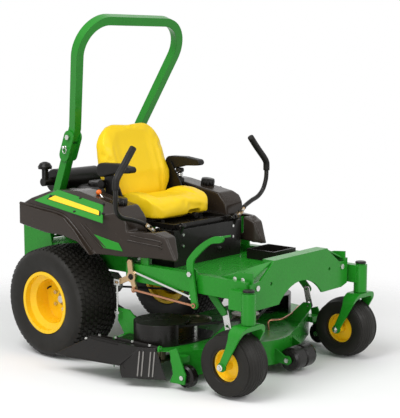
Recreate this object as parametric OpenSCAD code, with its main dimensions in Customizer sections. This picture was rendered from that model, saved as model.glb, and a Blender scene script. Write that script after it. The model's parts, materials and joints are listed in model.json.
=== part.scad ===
// Zero turn mower: ride-on machine with two driven rear wheels, two front casters,
// a folding roll bar, a pair of steering levers and a lifting three-blade deck.
// Millimetres. +X points forward, +Y to the driver's left, +Z up, the ground is z = 0.
// Places are worked out from the rear axle and moved to the middle of the footprint by place().

/* [Wheels] */
// Outer radius of a rear tyre
rear_tyre_r = 305; // [295:1:315]
// Width of a rear tyre
rear_tyre_w = 300; // [270:1:304]
// Distance from the centre line to the middle of a rear wheel
rear_wheel_s = 488; // [486:1:510]
// Bead radius of a rear rim
rear_rim_r = 158; // [145:1:165]
// Outer radius of a caster tyre
caster_tyre_r = 165; // [150:1:168]
// Width of a caster tyre
caster_tyre_w = 160; // [130:1:162]
// Bead radius of a caster rim
caster_rim_r = 80; // [70:1:88]
// Distance from the rear axle forward to the caster spindles
spindle_x = 1317; // [1315:1:1345]
// Distance from the centre line to a caster spindle
spindle_s = 491; // [489:1:510]
// Distance that a caster wheel trails behind its spindle
caster_trail = 86; // [74:1:88]
// Radius of a caster spindle
spindle_r = 16; // [12:1:20]
// Radius of a caster axle bolt
caster_axle_r = 10; // [8:0.5:12]
// Radius of a rear axle shaft
rear_axle_r = 20; // [16:1:24]

/* [Frame] */
// Height of the underside of the main rails
rail_z = 465; // [455:1:475]
// Height of a main rail
rail_h = 95; // [85:1:105]
// Width of a main rail
rail_w = 50; // [44:1:54]
// Distance from the centre line to a rail's inner face at the rear
rail_rear_s = 243; // [236:1:246]
// Distance from the centre line to a rail's inner face at the front
rail_front_s = 395; // [390:1:397]
// Front end of the rails
rail_front_x = 1262; // [1255:1:1268]
// Rear end of the rails
rail_rear_x = -432; // [-440:1:-420]
// Rear face of the engine guard
guard_rear_x = -540; // [-570:1:-530]
// Thickness of the frame plates
plate_t = 8; // [6:1:10]
// Height of the foot platform above the underside of the rails
floor_rise = 60; // [56:1:66]
// Top of the front beam above the underside of the rails
beam_rise = 175; // [160:1:185]
// Radius of the arch cut through the front beam
arch_r = 242; // [220:1:250]

/* [Roll bar] */
// Width of the square roll bar tube
bar_w = 50; // [44:1:54]
// Distance from the centre line to a roll bar hinge
bar_s = 268; // [264:1:272]
// Roll bar hinge, forward of the rear axle
bar_hinge_x = -136; // [-150:1:-125]
// Height of the roll bar hinge
bar_hinge_z = 1187; // [1150:1:1220]
// Forward lean of the roll bar in degrees
bar_lean = 21; // [15:1:24]
// Outward splay of the hoop's legs in degrees
bar_splay = 15.5; // [10:0.5:18]
// Length of the hoop from its hinge to the middle of the top tube
bar_length = 701; // [650:1:740]
// Half length of the straight top tube
bar_top_half = 222; // [200:1:235]
// Radius of a roll bar hinge bolt
bar_bolt_r = 10; // [8:0.5:12]

/* [Seat] */
// Half width of the seat cushion
seat_half_w = 245; // [230:1:250]
// Front of the seat cushion
seat_front_x = 498; // [490:1:505]
// Rear of the seat cushion
seat_rear_x = 150; // [140:1:170]
// Height of the top of the seat box
seat_box_z = 728; // [720:1:732]
// Half width of the seat box
seat_box_half = 280; // [272:1:284]
// Front face of the seat box
seat_box_x = 648; // [640:1:660]
// Thickness of the seat cushion
cushion_h = 138; // [130:1:142]
// Height of the backrest's top above the cushion
back_h = 372; // [350:1:385]

/* [Pods] */
// Outer face of the fender flare
flare_s = 596; // [590:1:604]
// Inner face of a side pod
pod_inner_s = 330; // [324:1:334]
// Outer face of a pod at its front tip
pod_tip_s = 384; // [378:1:395]
// Front tip of a pod
pod_tip_x = 758; // [740:1:770]
// Wall of a pod
pod_wall = 14; // [10:1:18]

/* [Levers] */
// Radius of a steering lever tube
lever_r = 11; // [9:0.5:13]
// Radius of a lever grip
grip_r = 16; // [14:0.5:18]
// Lever pivot, forward of the rear axle
lever_x = 564; // [558:1:570]
// Height of the lever pivot
lever_z = 682; // [676:1:688]
// Radius of the lever pivot pins
lever_pin_r = 8; // [6:0.5:9]

/* [Deck] */
// Radius that a blade sweeps
blade_r = 236; // [220:1:238]
// Distance from the rear axle to the outer spindles
outer_spindle_x = 707; // [700:1:712]
// Distance from the centre line to an outer spindle
outer_spindle_s = 446; // [444:1:452]
// Distance that the centre spindle stands ahead of the outer ones
centre_lead = 203; // [200:1:206]
// Wall of the deck shell
deck_wall = 5; // [4:0.5:7]
// Lower edge of the deck
deck_z = 50; // [45:1:60]
// Height of the deck shell
deck_h = 130; // [120:1:140]
// Radius of a blade spindle shaft
shaft_r = 12.5; // [10:0.5:14]
// Radius of a spindle pulley
pulley_r = 75; // [65:1:80]
// Outer radius of an anti-scalp wheel
gauge_r = 56; // [50:1:58]
// Outer radius of the front anti-scalp roller
roller_r = 62; // [55:1:64]
// Radius of the anti-scalp axle bolts
gauge_axle_r = 8; // [6:0.5:10]

/* [Lift linkage] */
// Height of the deck lift shafts
lift_z = 495; // [490:1:498]
// Rear lift shaft, forward of the rear axle
rear_lift_x = 515; // [510:1:520]
// Front lift shaft, forward of the rear axle
front_lift_x = 935; // [930:1:940]
// Radius of the lift shafts
lift_shaft_r = 15; // [12:0.5:16]
// Radius of the pins in the lift linkage
link_pin_r = 6; // [5:0.5:7]
// Height of the pedal pivot
pedal_z = 565; // [562:1:570]

/* [Fits] */
// Radial clearance of a turning pin or shaft
run_gap = 0.05; // [0.02:0.01:0.1]
// Gap between faces that move past each other
slide_gap = 0.5; // [0.3:0.1:0.8]
// Extra radius of the linkage eyes that are left loose
loose_gap = 1; // [0.8:0.1:1.5]
// Gap left where a piece hangs in or rests against another
rest_gap = 0.3; // [0.2:0.05:0.5]

/* [Hidden] */
$fn = 48;
eps = 0.01;
rear_half_w = rear_tyre_w / 2;
caster_half_w = caster_tyre_w / 2;
caster_x = spindle_x - caster_trail;
rail_top = rail_z + rail_h;
flare_x0 = 345;
flare_x1 = 475;
floor_z = rail_z + floor_rise;
floor_t = 6;
front_x = caster_x + caster_tyre_r;
left_s = outer_spindle_s + blade_r + 14;
chute_s = left_s + 61;
origin_x = (front_x + guard_rear_x) / 2;
origin_y = (left_s - chute_s) / 2;

// Points of an arc round c, from angle a0 to a1 in n steps
function arc(c, r, a0, a1, n) =
  [for (i = [0:n]) c + r * [cos(a0 + (a1 - a0) * i / n), sin(a0 + (a1 - a0) * i / n)]];
function flip(points) = [for (i = [len(points) - 1:-1:0]) [-points[i][0], points[i][1]]];
function back(points) = [for (i = [len(points) - 1:-1:0]) points[i]];
function unit(v) = v / norm(v);

// Catmull-Rom curve through the points, with n steps between two of them
function curve_at(a, b, c, d, t) = 0.5 * (2 * b + (c - a) * t + (2 * a - 5 * b + 4 * c - d) * t * t
  + (3 * b - a - 3 * c + d) * t * t * t);
function curve(p, n) = concat(
  [for (i = [0:len(p) - 2]) for (k = [0:n - 1])
  curve_at(p[max(i - 1, 0)], p[i], p[i + 1], p[min(i + 2, len(p) - 1)], k / n)],
  [p[len(p) - 1]]);

module place() {
  translate([-origin_x, -origin_y, 0])
    children();
}
module right_side() {
  mirror([0, 1, 0])
    children();
}
module both_sides() {
  children();
  mirror([0, 1, 0])
    children();
}
module box(lo, hi) {
  translate(lo)
    cube(hi - lo);
}
// Round bar along Y from y0 to y1
module across(x, z, y0, y1, r) {
  translate([x, y0, z])
    rotate([-90, 0, 0])
      cylinder(h = y1 - y0, r = r);
}
// Round bar along Z
module upright(x, y, z0, z1, r) {
  translate([x, y, z0])
    cylinder(h = z1 - z0, r = r);
}
// Round bar along X
module along(y, z, x0, x1, r) {
  translate([x0, y, z])
    rotate([0, 90, 0])
      cylinder(h = x1 - x0, r = r);
}
// Side view shape (x, z) with its faces at y0 and y1
module side_plate(y0, y1) {
  translate([0, y1, 0])
    rotate([90, 0, 0])
      linear_extrude(y1 - y0)
        children();
}
// Front view shape (y, z) with its faces at x0 and x1
module front_plate(x0, x1) {
  translate([x0, 0, 0])
    rotate([90, 0, 90])
      linear_extrude(x1 - x0)
        children();
}
// Plan shape (x, y) with its faces at z0 and z1
module flat_plate(z0, z1) {
  translate([0, 0, z0])
    linear_extrude(z1 - z0)
      children();
}
// Straight bar in side view, with round ends
module link_shape(a, b, r) {
  d = unit(b - a);
  n = [-d[1], d[0]];
  translate(a)
    circle(r);
  translate(b)
    circle(r);
  polygon([a + r * n, b + r * n, b - r * n, a - r * n]);
}
// Turned piece: a profile of (radius, offset) points round a Y axis through (x, z)
module turned(x, y, z, points) {
  translate([x, y, z])
    rotate([-90, 0, 0])
      rotate_extrude($fn = 96)
        polygon(points);
}
module hex_head(x, y, z, across_r, h, turn) {
  translate([x, y, z])
    rotate(turn)
      cylinder(h = h, r = across_r, $fn = 6);
}
// Round tube swept along a path that stays near the plane square to X
module swept_tube(path, r, sides) {
  last = len(path) - 1;
  rings = [for (i = [0:last])
    let (t = unit(path[min(i + 1, last)] - path[max(i - 1, 0)]),
    a = unit(cross(t, [1, 0, 0])),
    b = cross(t, a))
    for (k = [0:sides - 1]) path[i] + r * (a * cos(360 * k / sides) + b * sin(360 * k / sides))];
  walls = [for (i = [0:last - 1]) for (k = [0:sides - 1])
    let (k2 = (k + 1) % sides)
    [i * sides + k, (i + 1) * sides + k, (i + 1) * sides + k2, i * sides + k2]];
  caps = [[for (k = [0:sides - 1]) k], [for (k = [sides - 1:-1:0]) last * sides + k]];
  polyhedron(points = rings, faces = concat(walls, caps), convexity = 6);
}

// Frame

rail_inner = [[rail_rear_x, rail_rear_s], [flare_x0, rail_rear_s], [flare_x1, rail_front_s],
  [rail_front_x, rail_front_s]];
flare_slope = (rail_front_s - rail_rear_s) / (flare_x1 - flare_x0);
flare_shift = rail_w * (sqrt(1 + flare_slope * flare_slope) - 1) / flare_slope;
rail_outer = [[rail_front_x, rail_front_s + rail_w], [flare_x1 - flare_shift, rail_front_s + rail_w],
  [flare_x0 - flare_shift, rail_rear_s + rail_w], [rail_rear_x, rail_rear_s + rail_w]];
rail_out_s = rail_front_s + rail_w;
housing_r = 36;
housing_gap = 2;
crown_gap = 14;
crown_t = 26;
crown_z = 2 * caster_tyre_r + crown_gap;
housing_z0 = crown_z + crown_t + housing_gap;
housing_z1 = rail_top - 37;
pedal_ear_z = rail_top - 25;
post_x0 = 545;
post_x1 = 600;
pod_floor_z = 600;
pod_deck_z = 735;
engine_plate_t = 8;
mast_d = [sin(bar_lean), cos(bar_lean)];
mast_n = [cos(bar_lean), -sin(bar_lean)];
bar_hinge = [bar_hinge_x, bar_hinge_z];
bar_half = bar_w / 2;
mast_gap = bar_half + 10;

module rail() {
  flat_plate(rail_z, rail_top)
    polygon(concat(rail_inner, rail_outer));
  // Arm and housing of the caster spindle
  box([rail_front_x - 70, rail_out_s - eps, housing_z0 + 55], [spindle_x, spindle_s, housing_z1]);
  upright(spindle_x, spindle_s, housing_z0, housing_z1, housing_r);
  // Post that carries the side pod
  box([post_x0, rail_out_s - 27, rail_top - eps], [post_x1, rail_out_s - 15, pod_deck_z - pod_wall]);
  // Bracket to the pod's inner wall
  box([-60, rail_rear_s + 30, rail_top - eps], [-20, rail_rear_s + rail_w, pod_deck_z + 45]);
  box([-60, rail_rear_s + rail_w - eps, pod_deck_z + 5], [-20, pod_inner_s, pod_deck_z + 45]);
}
module frame_rails() {
  color("forestgreen") place() difference() {
    union() {
      both_sides()
        rail();
      // Engine plate between the rails
      box([rail_rear_x, -rail_rear_s - eps, rail_top - engine_plate_t],
        [flare_x0 - 270, rail_rear_s + eps, rail_top]);
      // Cross tubes
      box([rail_rear_x, -rail_rear_s - eps, rail_z], [rail_rear_x + 40, rail_rear_s + eps, rail_z + 60]);
      box([flare_x0 - 65, -rail_rear_s - eps, rail_z + 10], [flare_x0 - 15, rail_rear_s + eps,
        rail_z + 60]);
      box([780, -rail_front_s - eps, rail_z], [830, rail_front_s + eps, rail_z + 45]);
      // Ear for the lift pedal on the right rail
      side_plate(-rail_out_s - plate_t, -rail_out_s + eps)
        link_shape([front_lift_x - 3, pedal_ear_z + 12], [front_lift_x - 3, pedal_z], 26);
    }
    both_sides() {
      upright(spindle_x, spindle_s, housing_z0 - 1, housing_z1 + 1, spindle_r + run_gap);
      for (x = [rear_lift_x, front_lift_x])
        across(x, lift_z, rail_front_s - 1, rail_out_s + 1, lift_shaft_r + run_gap);
    }
    upright(engine_x, 0, rail_top - 20, rail_top + 1, clutch_shaft_r + 4);
    across(front_lift_x - 3, pedal_z, -rail_out_s - plate_t - 1, -rail_out_s + 1, lever_pin_r + run_gap);
  }
}

beam_t = 12;
beam_top = rail_z + beam_rise;
beam_half = rail_out_s - 20;
beam_low = 411;
beam_apex = 503;
beam_bolts = [[-370, 523], [-255, 527], [255, 527], [370, 523]];
beam_bolt_r = 9;
module beam_half_shape() {
  polygon([[0, beam_low], [beam_half - 55, beam_low], [beam_half, beam_low + 16],
    [beam_half, rail_top - 15],
    [beam_half - 80, rail_top - 6], [beam_half - 178, beam_top - 16], [beam_half - 192, beam_top],
    [0, beam_top]]);
}
// Distance from the centre line to the joints between the beam's middle and its two side parts
beam_joint = 128;
module beam_whole() {
  x0 = rail_front_x;
  difference() {
    union() {
      front_plate(x0, x0 + beam_t) {
        beam_half_shape();
        mirror([1, 0, 0])
          beam_half_shape();
      }
      // Top flange folded back over the platform
      box([x0 - 60, -beam_half + 192, beam_top - 10], [x0 + eps, beam_half - 192, beam_top]);
      both_sides() {
        // Sloped corner plate between the beam's top and the rail
        hull()
          for (c = [[x0 - 6, beam_half - 192, beam_top - 10], [x0 - 6, rail_front_s + 4, rail_top],
            [x0 - 170, rail_front_s + 4, rail_top]])
            translate(c)
              cube([6, 6, 6]);
        // Gusset down to the rail
        side_plate(rail_front_s + 2, rail_front_s + 12)
          polygon([[x0 - 190, rail_top], [x0, rail_top], [x0, rail_top - 20],
            [x0 + beam_t, rail_top - 20], [x0 + beam_t, rail_top + 42], [x0 - 60, rail_top + 36]]);
        side_plate(beam_half - 200, beam_half - 192)
          polygon([[x0 - 60, beam_top - 10 + eps], [x0 + eps, beam_top - 60],
            [x0 + eps, beam_top - 10 + eps]]);
      }
    }
    front_plate(x0 - 1, x0 + beam_t + 1)
      translate([0, beam_apex - arch_r])
        circle(arch_r, $fn = 96);
    for (b = beam_bolts)
      along(b[0], b[1], x0 - 1, x0 + beam_t + 1, beam_bolt_r);
  }
}
// Part of the beam between two distances from the centre line
module beam_part(y0, y1) {
  intersection() {
    beam_whole();
    box([seat_box_x, y0, beam_low - 1], [front_x, y1, beam_top + 1]);
  }
}
module front_beam() {
  color("forestgreen") place() {
    beam_part(-beam_joint, beam_joint);
    both_sides()
      beam_part(beam_joint + seat_clear, rail_out_s);
  }
}

module floor_pan() {
  x1 = rail_front_x;
  color("forestgreen") place() {
    box([flare_x1 + 5, -rail_front_s, floor_z], [x1, rail_front_s, floor_z + floor_t]);
    // Raised side walls of the foot well
    both_sides()
      box([seat_box_x + 20, rail_front_s - floor_t, floor_z + floor_t - eps],
        [x1 - 110, rail_front_s, rail_top - 4]);
  }
}

guard_z0 = rail_z - 25;
guard_z1 = rail_z + 255;
guard_s = rail_rear_s + rail_w;
hitch_r = 10;
hitch_t = 10;
module rear_guard() {
  color("forestgreen") place() difference() {
    union() {
      both_sides()
        side_plate(guard_s, guard_s + plate_t)
          polygon([[guard_rear_x, guard_z0], [rail_rear_x + 90, guard_z0],
            [rail_rear_x + 150, guard_z0 + 60], [rail_rear_x + 105, guard_z1 - 10],
            [guard_rear_x + 30, guard_z1], [guard_rear_x, guard_z1 - 40]]);
      box([guard_rear_x, -guard_s - eps, guard_z0], [guard_rear_x + plate_t, guard_s + eps, guard_z1 - 40]);
      box([guard_rear_x + plate_t - eps, -60, guard_z0], [rail_rear_x, 60, guard_z0 + hitch_t]);
      box([rail_rear_x - plate_t, -60, guard_z0], [rail_rear_x, 60, rail_z + 60]);
    }
    // Cooling slots
    for (i = [0:5])
      box([guard_rear_x - 1, -210, guard_z0 + 25 + 30 * i],
        [guard_rear_x + plate_t + 1, 210, guard_z0 + 40 + 30 * i]);
    upright((guard_rear_x + rail_rear_x) / 2, 0, guard_z0 - 1, guard_z0 + hitch_t + 1, hitch_r);
  }
}

function mast_foot(side) =
  let (p = bar_hinge + side * bar_half * mast_n)
    p + (rail_top - p[1]) / mast_d[1] * mast_d;
ear_r = 38;
ear_t = 10;
ear_drop = 110;
module rops_masts() {
  color("forestgreen") place() both_sides()
    difference() {
      union() {
        side_plate(bar_s - bar_half, bar_s + bar_half)
          polygon([mast_foot(1), bar_hinge - mast_gap * mast_d + bar_half * mast_n,
            bar_hinge - mast_gap * mast_d - bar_half * mast_n, mast_foot(-1)]);
        for (s = [bar_s - bar_half - ear_t, bar_s + bar_half])
          side_plate(s, s + ear_t)
            link_shape(bar_hinge, bar_hinge - ear_drop * mast_d, ear_r);
      }
      across(bar_hinge_x, bar_hinge_z, bar_s - bar_half - ear_t - 1, bar_s + bar_half + ear_t + 1,
        bar_bolt_r + run_gap);
    }
}

// Roll bar hoop

bar_kink = 55;
bar_tail = 18;
bar_bend = ((bar_s - bar_top_half) * cos(bar_splay) + (bar_length - bar_kink) * sin(bar_splay))
  / (1 + sin(bar_splay));
function hoop_side(off) = concat([[bar_s + off, -bar_tail], [bar_s + off, bar_kink]],
  arc([bar_top_half, bar_length - bar_bend], bar_bend + off, -bar_splay, 90, 16));
module rops_hoop() {
  outer = hoop_side(bar_half - slide_gap);
  inner = hoop_side(-bar_half + slide_gap);
  color("forestgreen") place() difference() {
    translate([bar_hinge_x, 0, bar_hinge_z])
      rotate([0, bar_lean, 0])
        rotate([90, 0, 90])
          linear_extrude(bar_w, center = true)
            polygon(concat(outer, flip(outer), [for (p = inner) [-p[0], p[1]]], back(inner)));
    both_sides()
      across(bar_hinge_x, bar_hinge_z, bar_s - bar_w, bar_s + bar_w, bar_bolt_r + run_gap);
  }
}

// Wheels

seat_clear = 0.2;
rim_lip = 14;
rim_t = 5;
module rear_tyre() {
  h = rear_tyre_r - rear_rim_r;
  bead = rear_half_w - 16;
  side = [[seat_clear, bead], [0.13 * h, bead], [0.3 * h, rear_half_w - 4], [0.5 * h, rear_half_w],
    [0.76 * h, rear_half_w - 3], [0.9 * h, rear_half_w - 14], [0.98 * h, rear_half_w - 34],
    [h, rear_half_w - 62]];
  turned(0, rear_wheel_s, rear_tyre_r,
    concat([for (p = side) [rear_rim_r + p[0], p[1]]], [for (p = back(side)) [rear_rim_r + p[0], -p[1]]]));
}
rim_half = rear_half_w - 16;
dish_r = rear_rim_r - 30;
hub_bolt_r = 57;
module rear_rim() {
  o = rear_rim_r;
  outer = [[o + rim_lip, rim_half + rim_t], [o + rim_lip, rim_half + seat_clear],
    [o, rim_half + seat_clear],
    [o, rim_half - 30], [dish_r, rim_half - 50]];
  inner = [[dish_r - rim_t, rim_half - 47], [o - rim_t, rim_half - 27], [o - rim_t, rim_half + rim_t]];
  turned(0, rear_wheel_s, rear_tyre_r, concat(outer, [for (p = back(outer)) [p[0], -p[1]]],
    [for (p = back(inner)) [p[0], -p[1]]], [[dish_r - rim_t, -4], [rear_axle_r + 15, -4],
    [rear_axle_r + 15, 4], [dish_r - rim_t, 4]], inner));
}
module rear_hub() {
  disc_in = rear_wheel_s - 4;
  // Flange behind the wheel disc and shaft into the drive unit
  across(0, rear_tyre_r, disc_in - 16, disc_in, hub_bolt_r + 18);
  across(0, rear_tyre_r, hydro_out_s - 60, disc_in + 24, rear_axle_r);
  for (i = [0:4])
    translate([0, rear_wheel_s + 4, rear_tyre_r])
      rotate([-90, 0, 0])
        rotate(72 * i)
          translate([hub_bolt_r, 0, 0])
            cylinder(h = 14, r = 11, $fn = 6);
}
module caster_tyre() {
  h = caster_tyre_r - caster_rim_r;
  bead = caster_half_w - 30;
  side = [[seat_clear, bead], [0.17 * h, bead], [0.34 * h, caster_half_w - 8], [0.5 * h, caster_half_w],
    [0.7 * h, caster_half_w - 3], [0.85 * h, caster_half_w - 14], [0.95 * h, caster_half_w - 32],
    [h, caster_half_w - 56]];
  turned(caster_x, spindle_s, caster_tyre_r, concat([for (p = side) [caster_rim_r + p[0], p[1]]],
    [for (p = back(side)) [caster_rim_r + p[0], -p[1]]]));
}
fork_half = caster_half_w + 10;
fork_t = 10;
module caster_rim() {
  bead = caster_half_w - 30 + seat_clear;
  hub = fork_half - 1;
  web = 30;
  r = caster_rim_r;
  side = [[caster_axle_r + run_gap, hub], [caster_axle_r + 12, hub], [caster_axle_r + 14, web + 8],
    [r - 12, web], [r - 6, bead], [r + 10, bead + 6], [r + 12, bead + 3], [r + 12, bead], [r, bead]];
  turned(caster_x, spindle_s, caster_tyre_r, concat(side, [for (p = back(side)) [p[0], -p[1]]]));
}
// Front view of a strap bent over the tyre
function fork_side(half, top, bend) =
  concat([[half, 0]], arc([half - bend, top - bend], bend, 0, 90, 8));
module caster_fork() {
  top = housing_z1;
  reach = fork_half + fork_t;
  outer = fork_side(reach, crown_z + crown_t, 52);
  inner = fork_side(fork_half, crown_z, 42);
  difference() {
    union() {
      intersection() {
        translate([0, spindle_s, 0])
          front_plate(caster_x - 60, spindle_x + 60)
            polygon(concat(outer, flip(outer), [for (p = inner) [-p[0], p[1]]], back(inner)));
        // Side view: the legs lean back from the spindle to the axle
        union() {
          side_plate(spindle_s - reach - 1, spindle_s + reach + 1)
            polygon([[spindle_x - 44, crown_z + crown_t + 1], [spindle_x + 40, crown_z + crown_t + 1],
              [spindle_x + 22, crown_z - 24], [spindle_x - 4, crown_z - 70],
              [caster_x + 23, caster_tyre_r + 6],
              [caster_x - 23, caster_tyre_r - 6], [spindle_x - 58, crown_z - 74],
              [spindle_x - 46, crown_z - 30]]);
          across(caster_x, caster_tyre_r, spindle_s - reach - 1, spindle_s + reach + 1, 24);
        }
      }
      upright(spindle_x, spindle_s, crown_z, top + 6, spindle_r);
      upright(spindle_x, spindle_s, top + slide_gap, top + 7, spindle_r + 10);
    }
    across(caster_x, caster_tyre_r, spindle_s - reach - 1, spindle_s + reach + 1, caster_axle_r + run_gap);
  }
  // Axle bolt with its head and nut
  across(caster_x, caster_tyre_r, spindle_s - fork_half - fork_t, spindle_s + fork_half + fork_t,
    caster_axle_r);
  hex_head(caster_x, spindle_s + fork_half + fork_t, caster_tyre_r, 17, 12, [-90, 0, 0]);
  hex_head(caster_x, spindle_s - fork_half - fork_t, caster_tyre_r, 17, 12, [90, 0, 0]);
}
module rear_tyre_left() {
  color("#2a2826") place() rear_tyre();
}
module rear_tyre_right() {
  color("#2a2826") place() right_side() rear_tyre();
}
module rear_rim_left() {
  color("gold") place() rear_rim();
}
module rear_rim_right() {
  color("gold") place() right_side() rear_rim();
}
module rear_hub_left() {
  color("silver") place() rear_hub();
}
module rear_hub_right() {
  color("silver") place() right_side() rear_hub();
}
module caster_tyre_left() {
  color("#2a2826") place() caster_tyre();
}
module caster_tyre_right() {
  color("#2a2826") place() right_side() caster_tyre();
}
module caster_rim_left() {
  color("gold") place() caster_rim();
}
module caster_rim_right() {
  color("gold") place() right_side() caster_rim();
}
module caster_fork_left() {
  color("forestgreen") place() caster_fork();
}
module caster_fork_right() {
  color("forestgreen") place() right_side() caster_fork();
}

// Drive train

engine_x = -170;
engine_z = rail_top;
crank_r = 125;
fin_count = 7;
bore_r = 58;
bank_angle = 135;
cylinder_l = 210;
module cylinder_bank(side) {
  translate([engine_x, 0, engine_z + 95])
    rotate([0, 0, side * bank_angle])
      rotate([0, 90, 0]) {
        cylinder(h = cylinder_l, r = bore_r);
        for (i = [0:fin_count - 1])
          translate([0, 0, crank_r + 8 + 10 * i])
            cylinder(h = 5, r = bore_r + 18);
      }
}
clutch_shaft_r = 14;
belt_z = deck_z + deck_h + 82;
module engine_block() {
  color("#4a4a4a") place() difference() {
    union() {
      upright(engine_x, 0, engine_z, engine_z + 190, crank_r);
      cylinder_bank(1);
      cylinder_bank(-1);
    }
    // Crankshaft bore
    upright(engine_x, 0, engine_z - 1, engine_z + 60, clutch_shaft_r + run_gap);
  }
}
shroud_z = engine_z + 190;
shroud_r = 165;
module engine_shroud() {
  color("#1e1e1e") place() {
    translate([engine_x, 0, shroud_z])
      rotate_extrude($fn = 96)
        polygon(concat([[0, 0], [shroud_r, 0]], arc([shroud_r - 40, 95], 40, 0, 90, 6),
          [[90, 135], [90, 150], [82, 160], [0, 160]]));
  }
}
cleaner_x = -415;
cleaner_z = 905;
cleaner_r = 72;
cleaner_half = 175;
inlet_s = 236;
module air_cleaner() {
  color("#1c1c1c") place() {
    turned(cleaner_x, 0, cleaner_z, [[0, -cleaner_half], [cleaner_r - 8, -cleaner_half],
      [cleaner_r, -cleaner_half + 10], [cleaner_r, -cleaner_half + 60], [cleaner_r - 5, -cleaner_half + 64],
      [cleaner_r - 5, cleaner_half - 8], [cleaner_r - 14, cleaner_half], [0, cleaner_half]]);
    // Inlet neck and rain hood
    across(cleaner_x, cleaner_z, -inlet_s - 20, -cleaner_half + eps, 24);
    upright(cleaner_x, -inlet_s, cleaner_z - 5, cleaner_z + 90, 20);
    translate([cleaner_x, -inlet_s, cleaner_z + 84])
      rotate_extrude()
        polygon([[0, 0], [40, -6], [42, 8], [30, 28], [12, 36], [0, 37]]);
    // Foot on the engine plate
    box([cleaner_x - 12, -14, rail_top], [cleaner_x + 20, 14, cleaner_z - cleaner_r + 10]);
  }
}
muffler_x = -478;
muffler_z = rail_top + 70;
muffler_r = 46;
module muffler() {
  color("#3a3a3c") place() {
    turned(muffler_x, 0, muffler_z, [[0, -205], [muffler_r - 12, -205], [muffler_r, -195], [muffler_r, 195],
      [muffler_r - 12, 205], [0, 205]]);
    // Cradle that stands on the guard's hitch plate
    box([muffler_x - 12, -20, guard_z0 + hitch_t], [muffler_x + 12, 20, muffler_z - muffler_r + 6]);
  }
}
hydro_in_s = 130;
hydro_out_s = 312;
hydro_z0 = 268;
hydro_z1 = 410;
module hydro_block(s0, s1, low) {
  side_plate(s0, s1)
    polygon([[-110, low + 26], [-80, low], [90, low], [115, low + 28], [115, hydro_z1 - 30], [80, hydro_z1],
      [-80, hydro_z1], [-110, hydro_z1 - 30]]);
}
module hydro_unit() {
  difference() {
    union() {
      // The inner half stays high, clear of the belt below it
      hydro_block(hydro_in_s, 228, hydro_z0 + 32);
      hydro_block(228 - eps, rail_rear_s + rail_w, hydro_z0 + 2);
      across(0, rear_tyre_r, rail_rear_s + rail_w - eps, hydro_out_s, rear_axle_r + 18);
      // Hanger up to the rail
      box([-60, rail_rear_s + 6, hydro_z1 - eps], [60, rail_rear_s + rail_w - 6, rail_z]);
    }
    across(0, rear_tyre_r, hydro_out_s - 62, hydro_out_s + 1, rear_axle_r + run_gap);
  }
  // Cooling fan and pulley on the input shaft
  upright(10, hydro_in_s + 55, hydro_z1, hydro_z1 + 42, 16);
  upright(10, hydro_in_s + 55, hydro_z1 + 42, hydro_z1 + 54, 48);
}
module hydro_units() {
  color("#5a5c5e") place() both_sides()
    hydro_unit();
}
clutch_r = 72;
clutch_h = 60;
module pto_clutch() {
  color("#8a7a4a") place() {
    upright(engine_x, 0, belt_z - 26, engine_z + 58, clutch_shaft_r);
    translate([engine_x, 0, belt_z])
      sheave(clutch_r, clutch_shaft_r + seat_clear);
    upright_ring(engine_x, 0, belt_z + 22, belt_z + 22 + clutch_h, clutch_r - 8, clutch_shaft_r
      + seat_clear);
  }
}
module upright_ring(x, y, z0, z1, r, bore) {
  difference() {
    upright(x, y, z0, z1, r);
    upright(x, y, z0 - 1, z1 + 1, bore);
  }
}
belt_w = 13;
belt_h = 11;
groove_t = 9;
// Belt pulley about Z with its groove at z = 0
module sheave(r, bore) {
  rotate_extrude($fn = 64)
    polygon([[bore, -groove_t - 5], [r, -groove_t - 5], [r, -groove_t], [r - belt_w, -belt_h / 2 - 0.5],
      [r - belt_w, belt_h / 2 + 0.5], [r, groove_t], [r, groove_t + 5], [bore, groove_t + 5]]);
}

// Side pods

pod_tilt = 8.6;
pod_side = [[-228, 722], [-224, 831], [-75, 905], [60, 916], [113, 914], [440, 858], [497, 795],
  [503, pod_deck_z],
  [640, pod_deck_z], [pod_tip_x - 51, 712], [pod_tip_x, pod_floor_z - 12], [632, pod_floor_z],
  [430, pod_floor_z], [330, 604], [235, 668],
  [120, 690], [-20, 692]];
pod_cave = [[-228, 640], [-228 + pod_wall, 690], [-224 + pod_wall, 820], [-72, 905 - pod_wall],
  [60, 916 - pod_wall],
  [113, 914 - pod_wall], [432, 858 - pod_wall], [497 - pod_wall, 790], [503 - pod_wall,
  pod_deck_z - pod_wall],
  [640, pod_deck_z - pod_wall], [pod_tip_x - 70, 700], [pod_tip_x - 40, pod_floor_z],
  [pod_tip_x - 40, 560], [-100, 560]];
flare_side = [[-231, 719], [-227, 834], [-100, 815], [60, 803], [131, 787], [215, 725], [318, 619],
  [335, 600],
  [237, 664], [120, 687], [-20, 689]];
pod_body_s = flare_s - 20;
module pod_plan(inset) {
  polygon([[-240, pod_inner_s + inset], [-240, pod_body_s - inset], [180, pod_body_s - inset],
    [314, pod_body_s - 16 - inset], [pod_tip_x + 1, pod_tip_s - inset],
    [pod_tip_x - 14, pod_inner_s + 22], [pod_tip_x - 56, pod_inner_s + inset]]);
}
pod_ledge = [[pod_body_s + 1, 835], [465, 918]];
module pod_section(inset) {
  rotate([0, pod_tilt, 0])
    front_plate(-400, 1100)
      polygon([[pod_inner_s - 40, 300], [pod_body_s + 60, 300], [pod_body_s + 60, 792 - inset],
        pod_ledge[0] - [0, inset * 1.3], pod_ledge[1] - [0, inset * 1.3], [pod_inner_s - 40, 1010]]);
}
cap_r = 38;
cap_h = 34;
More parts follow.
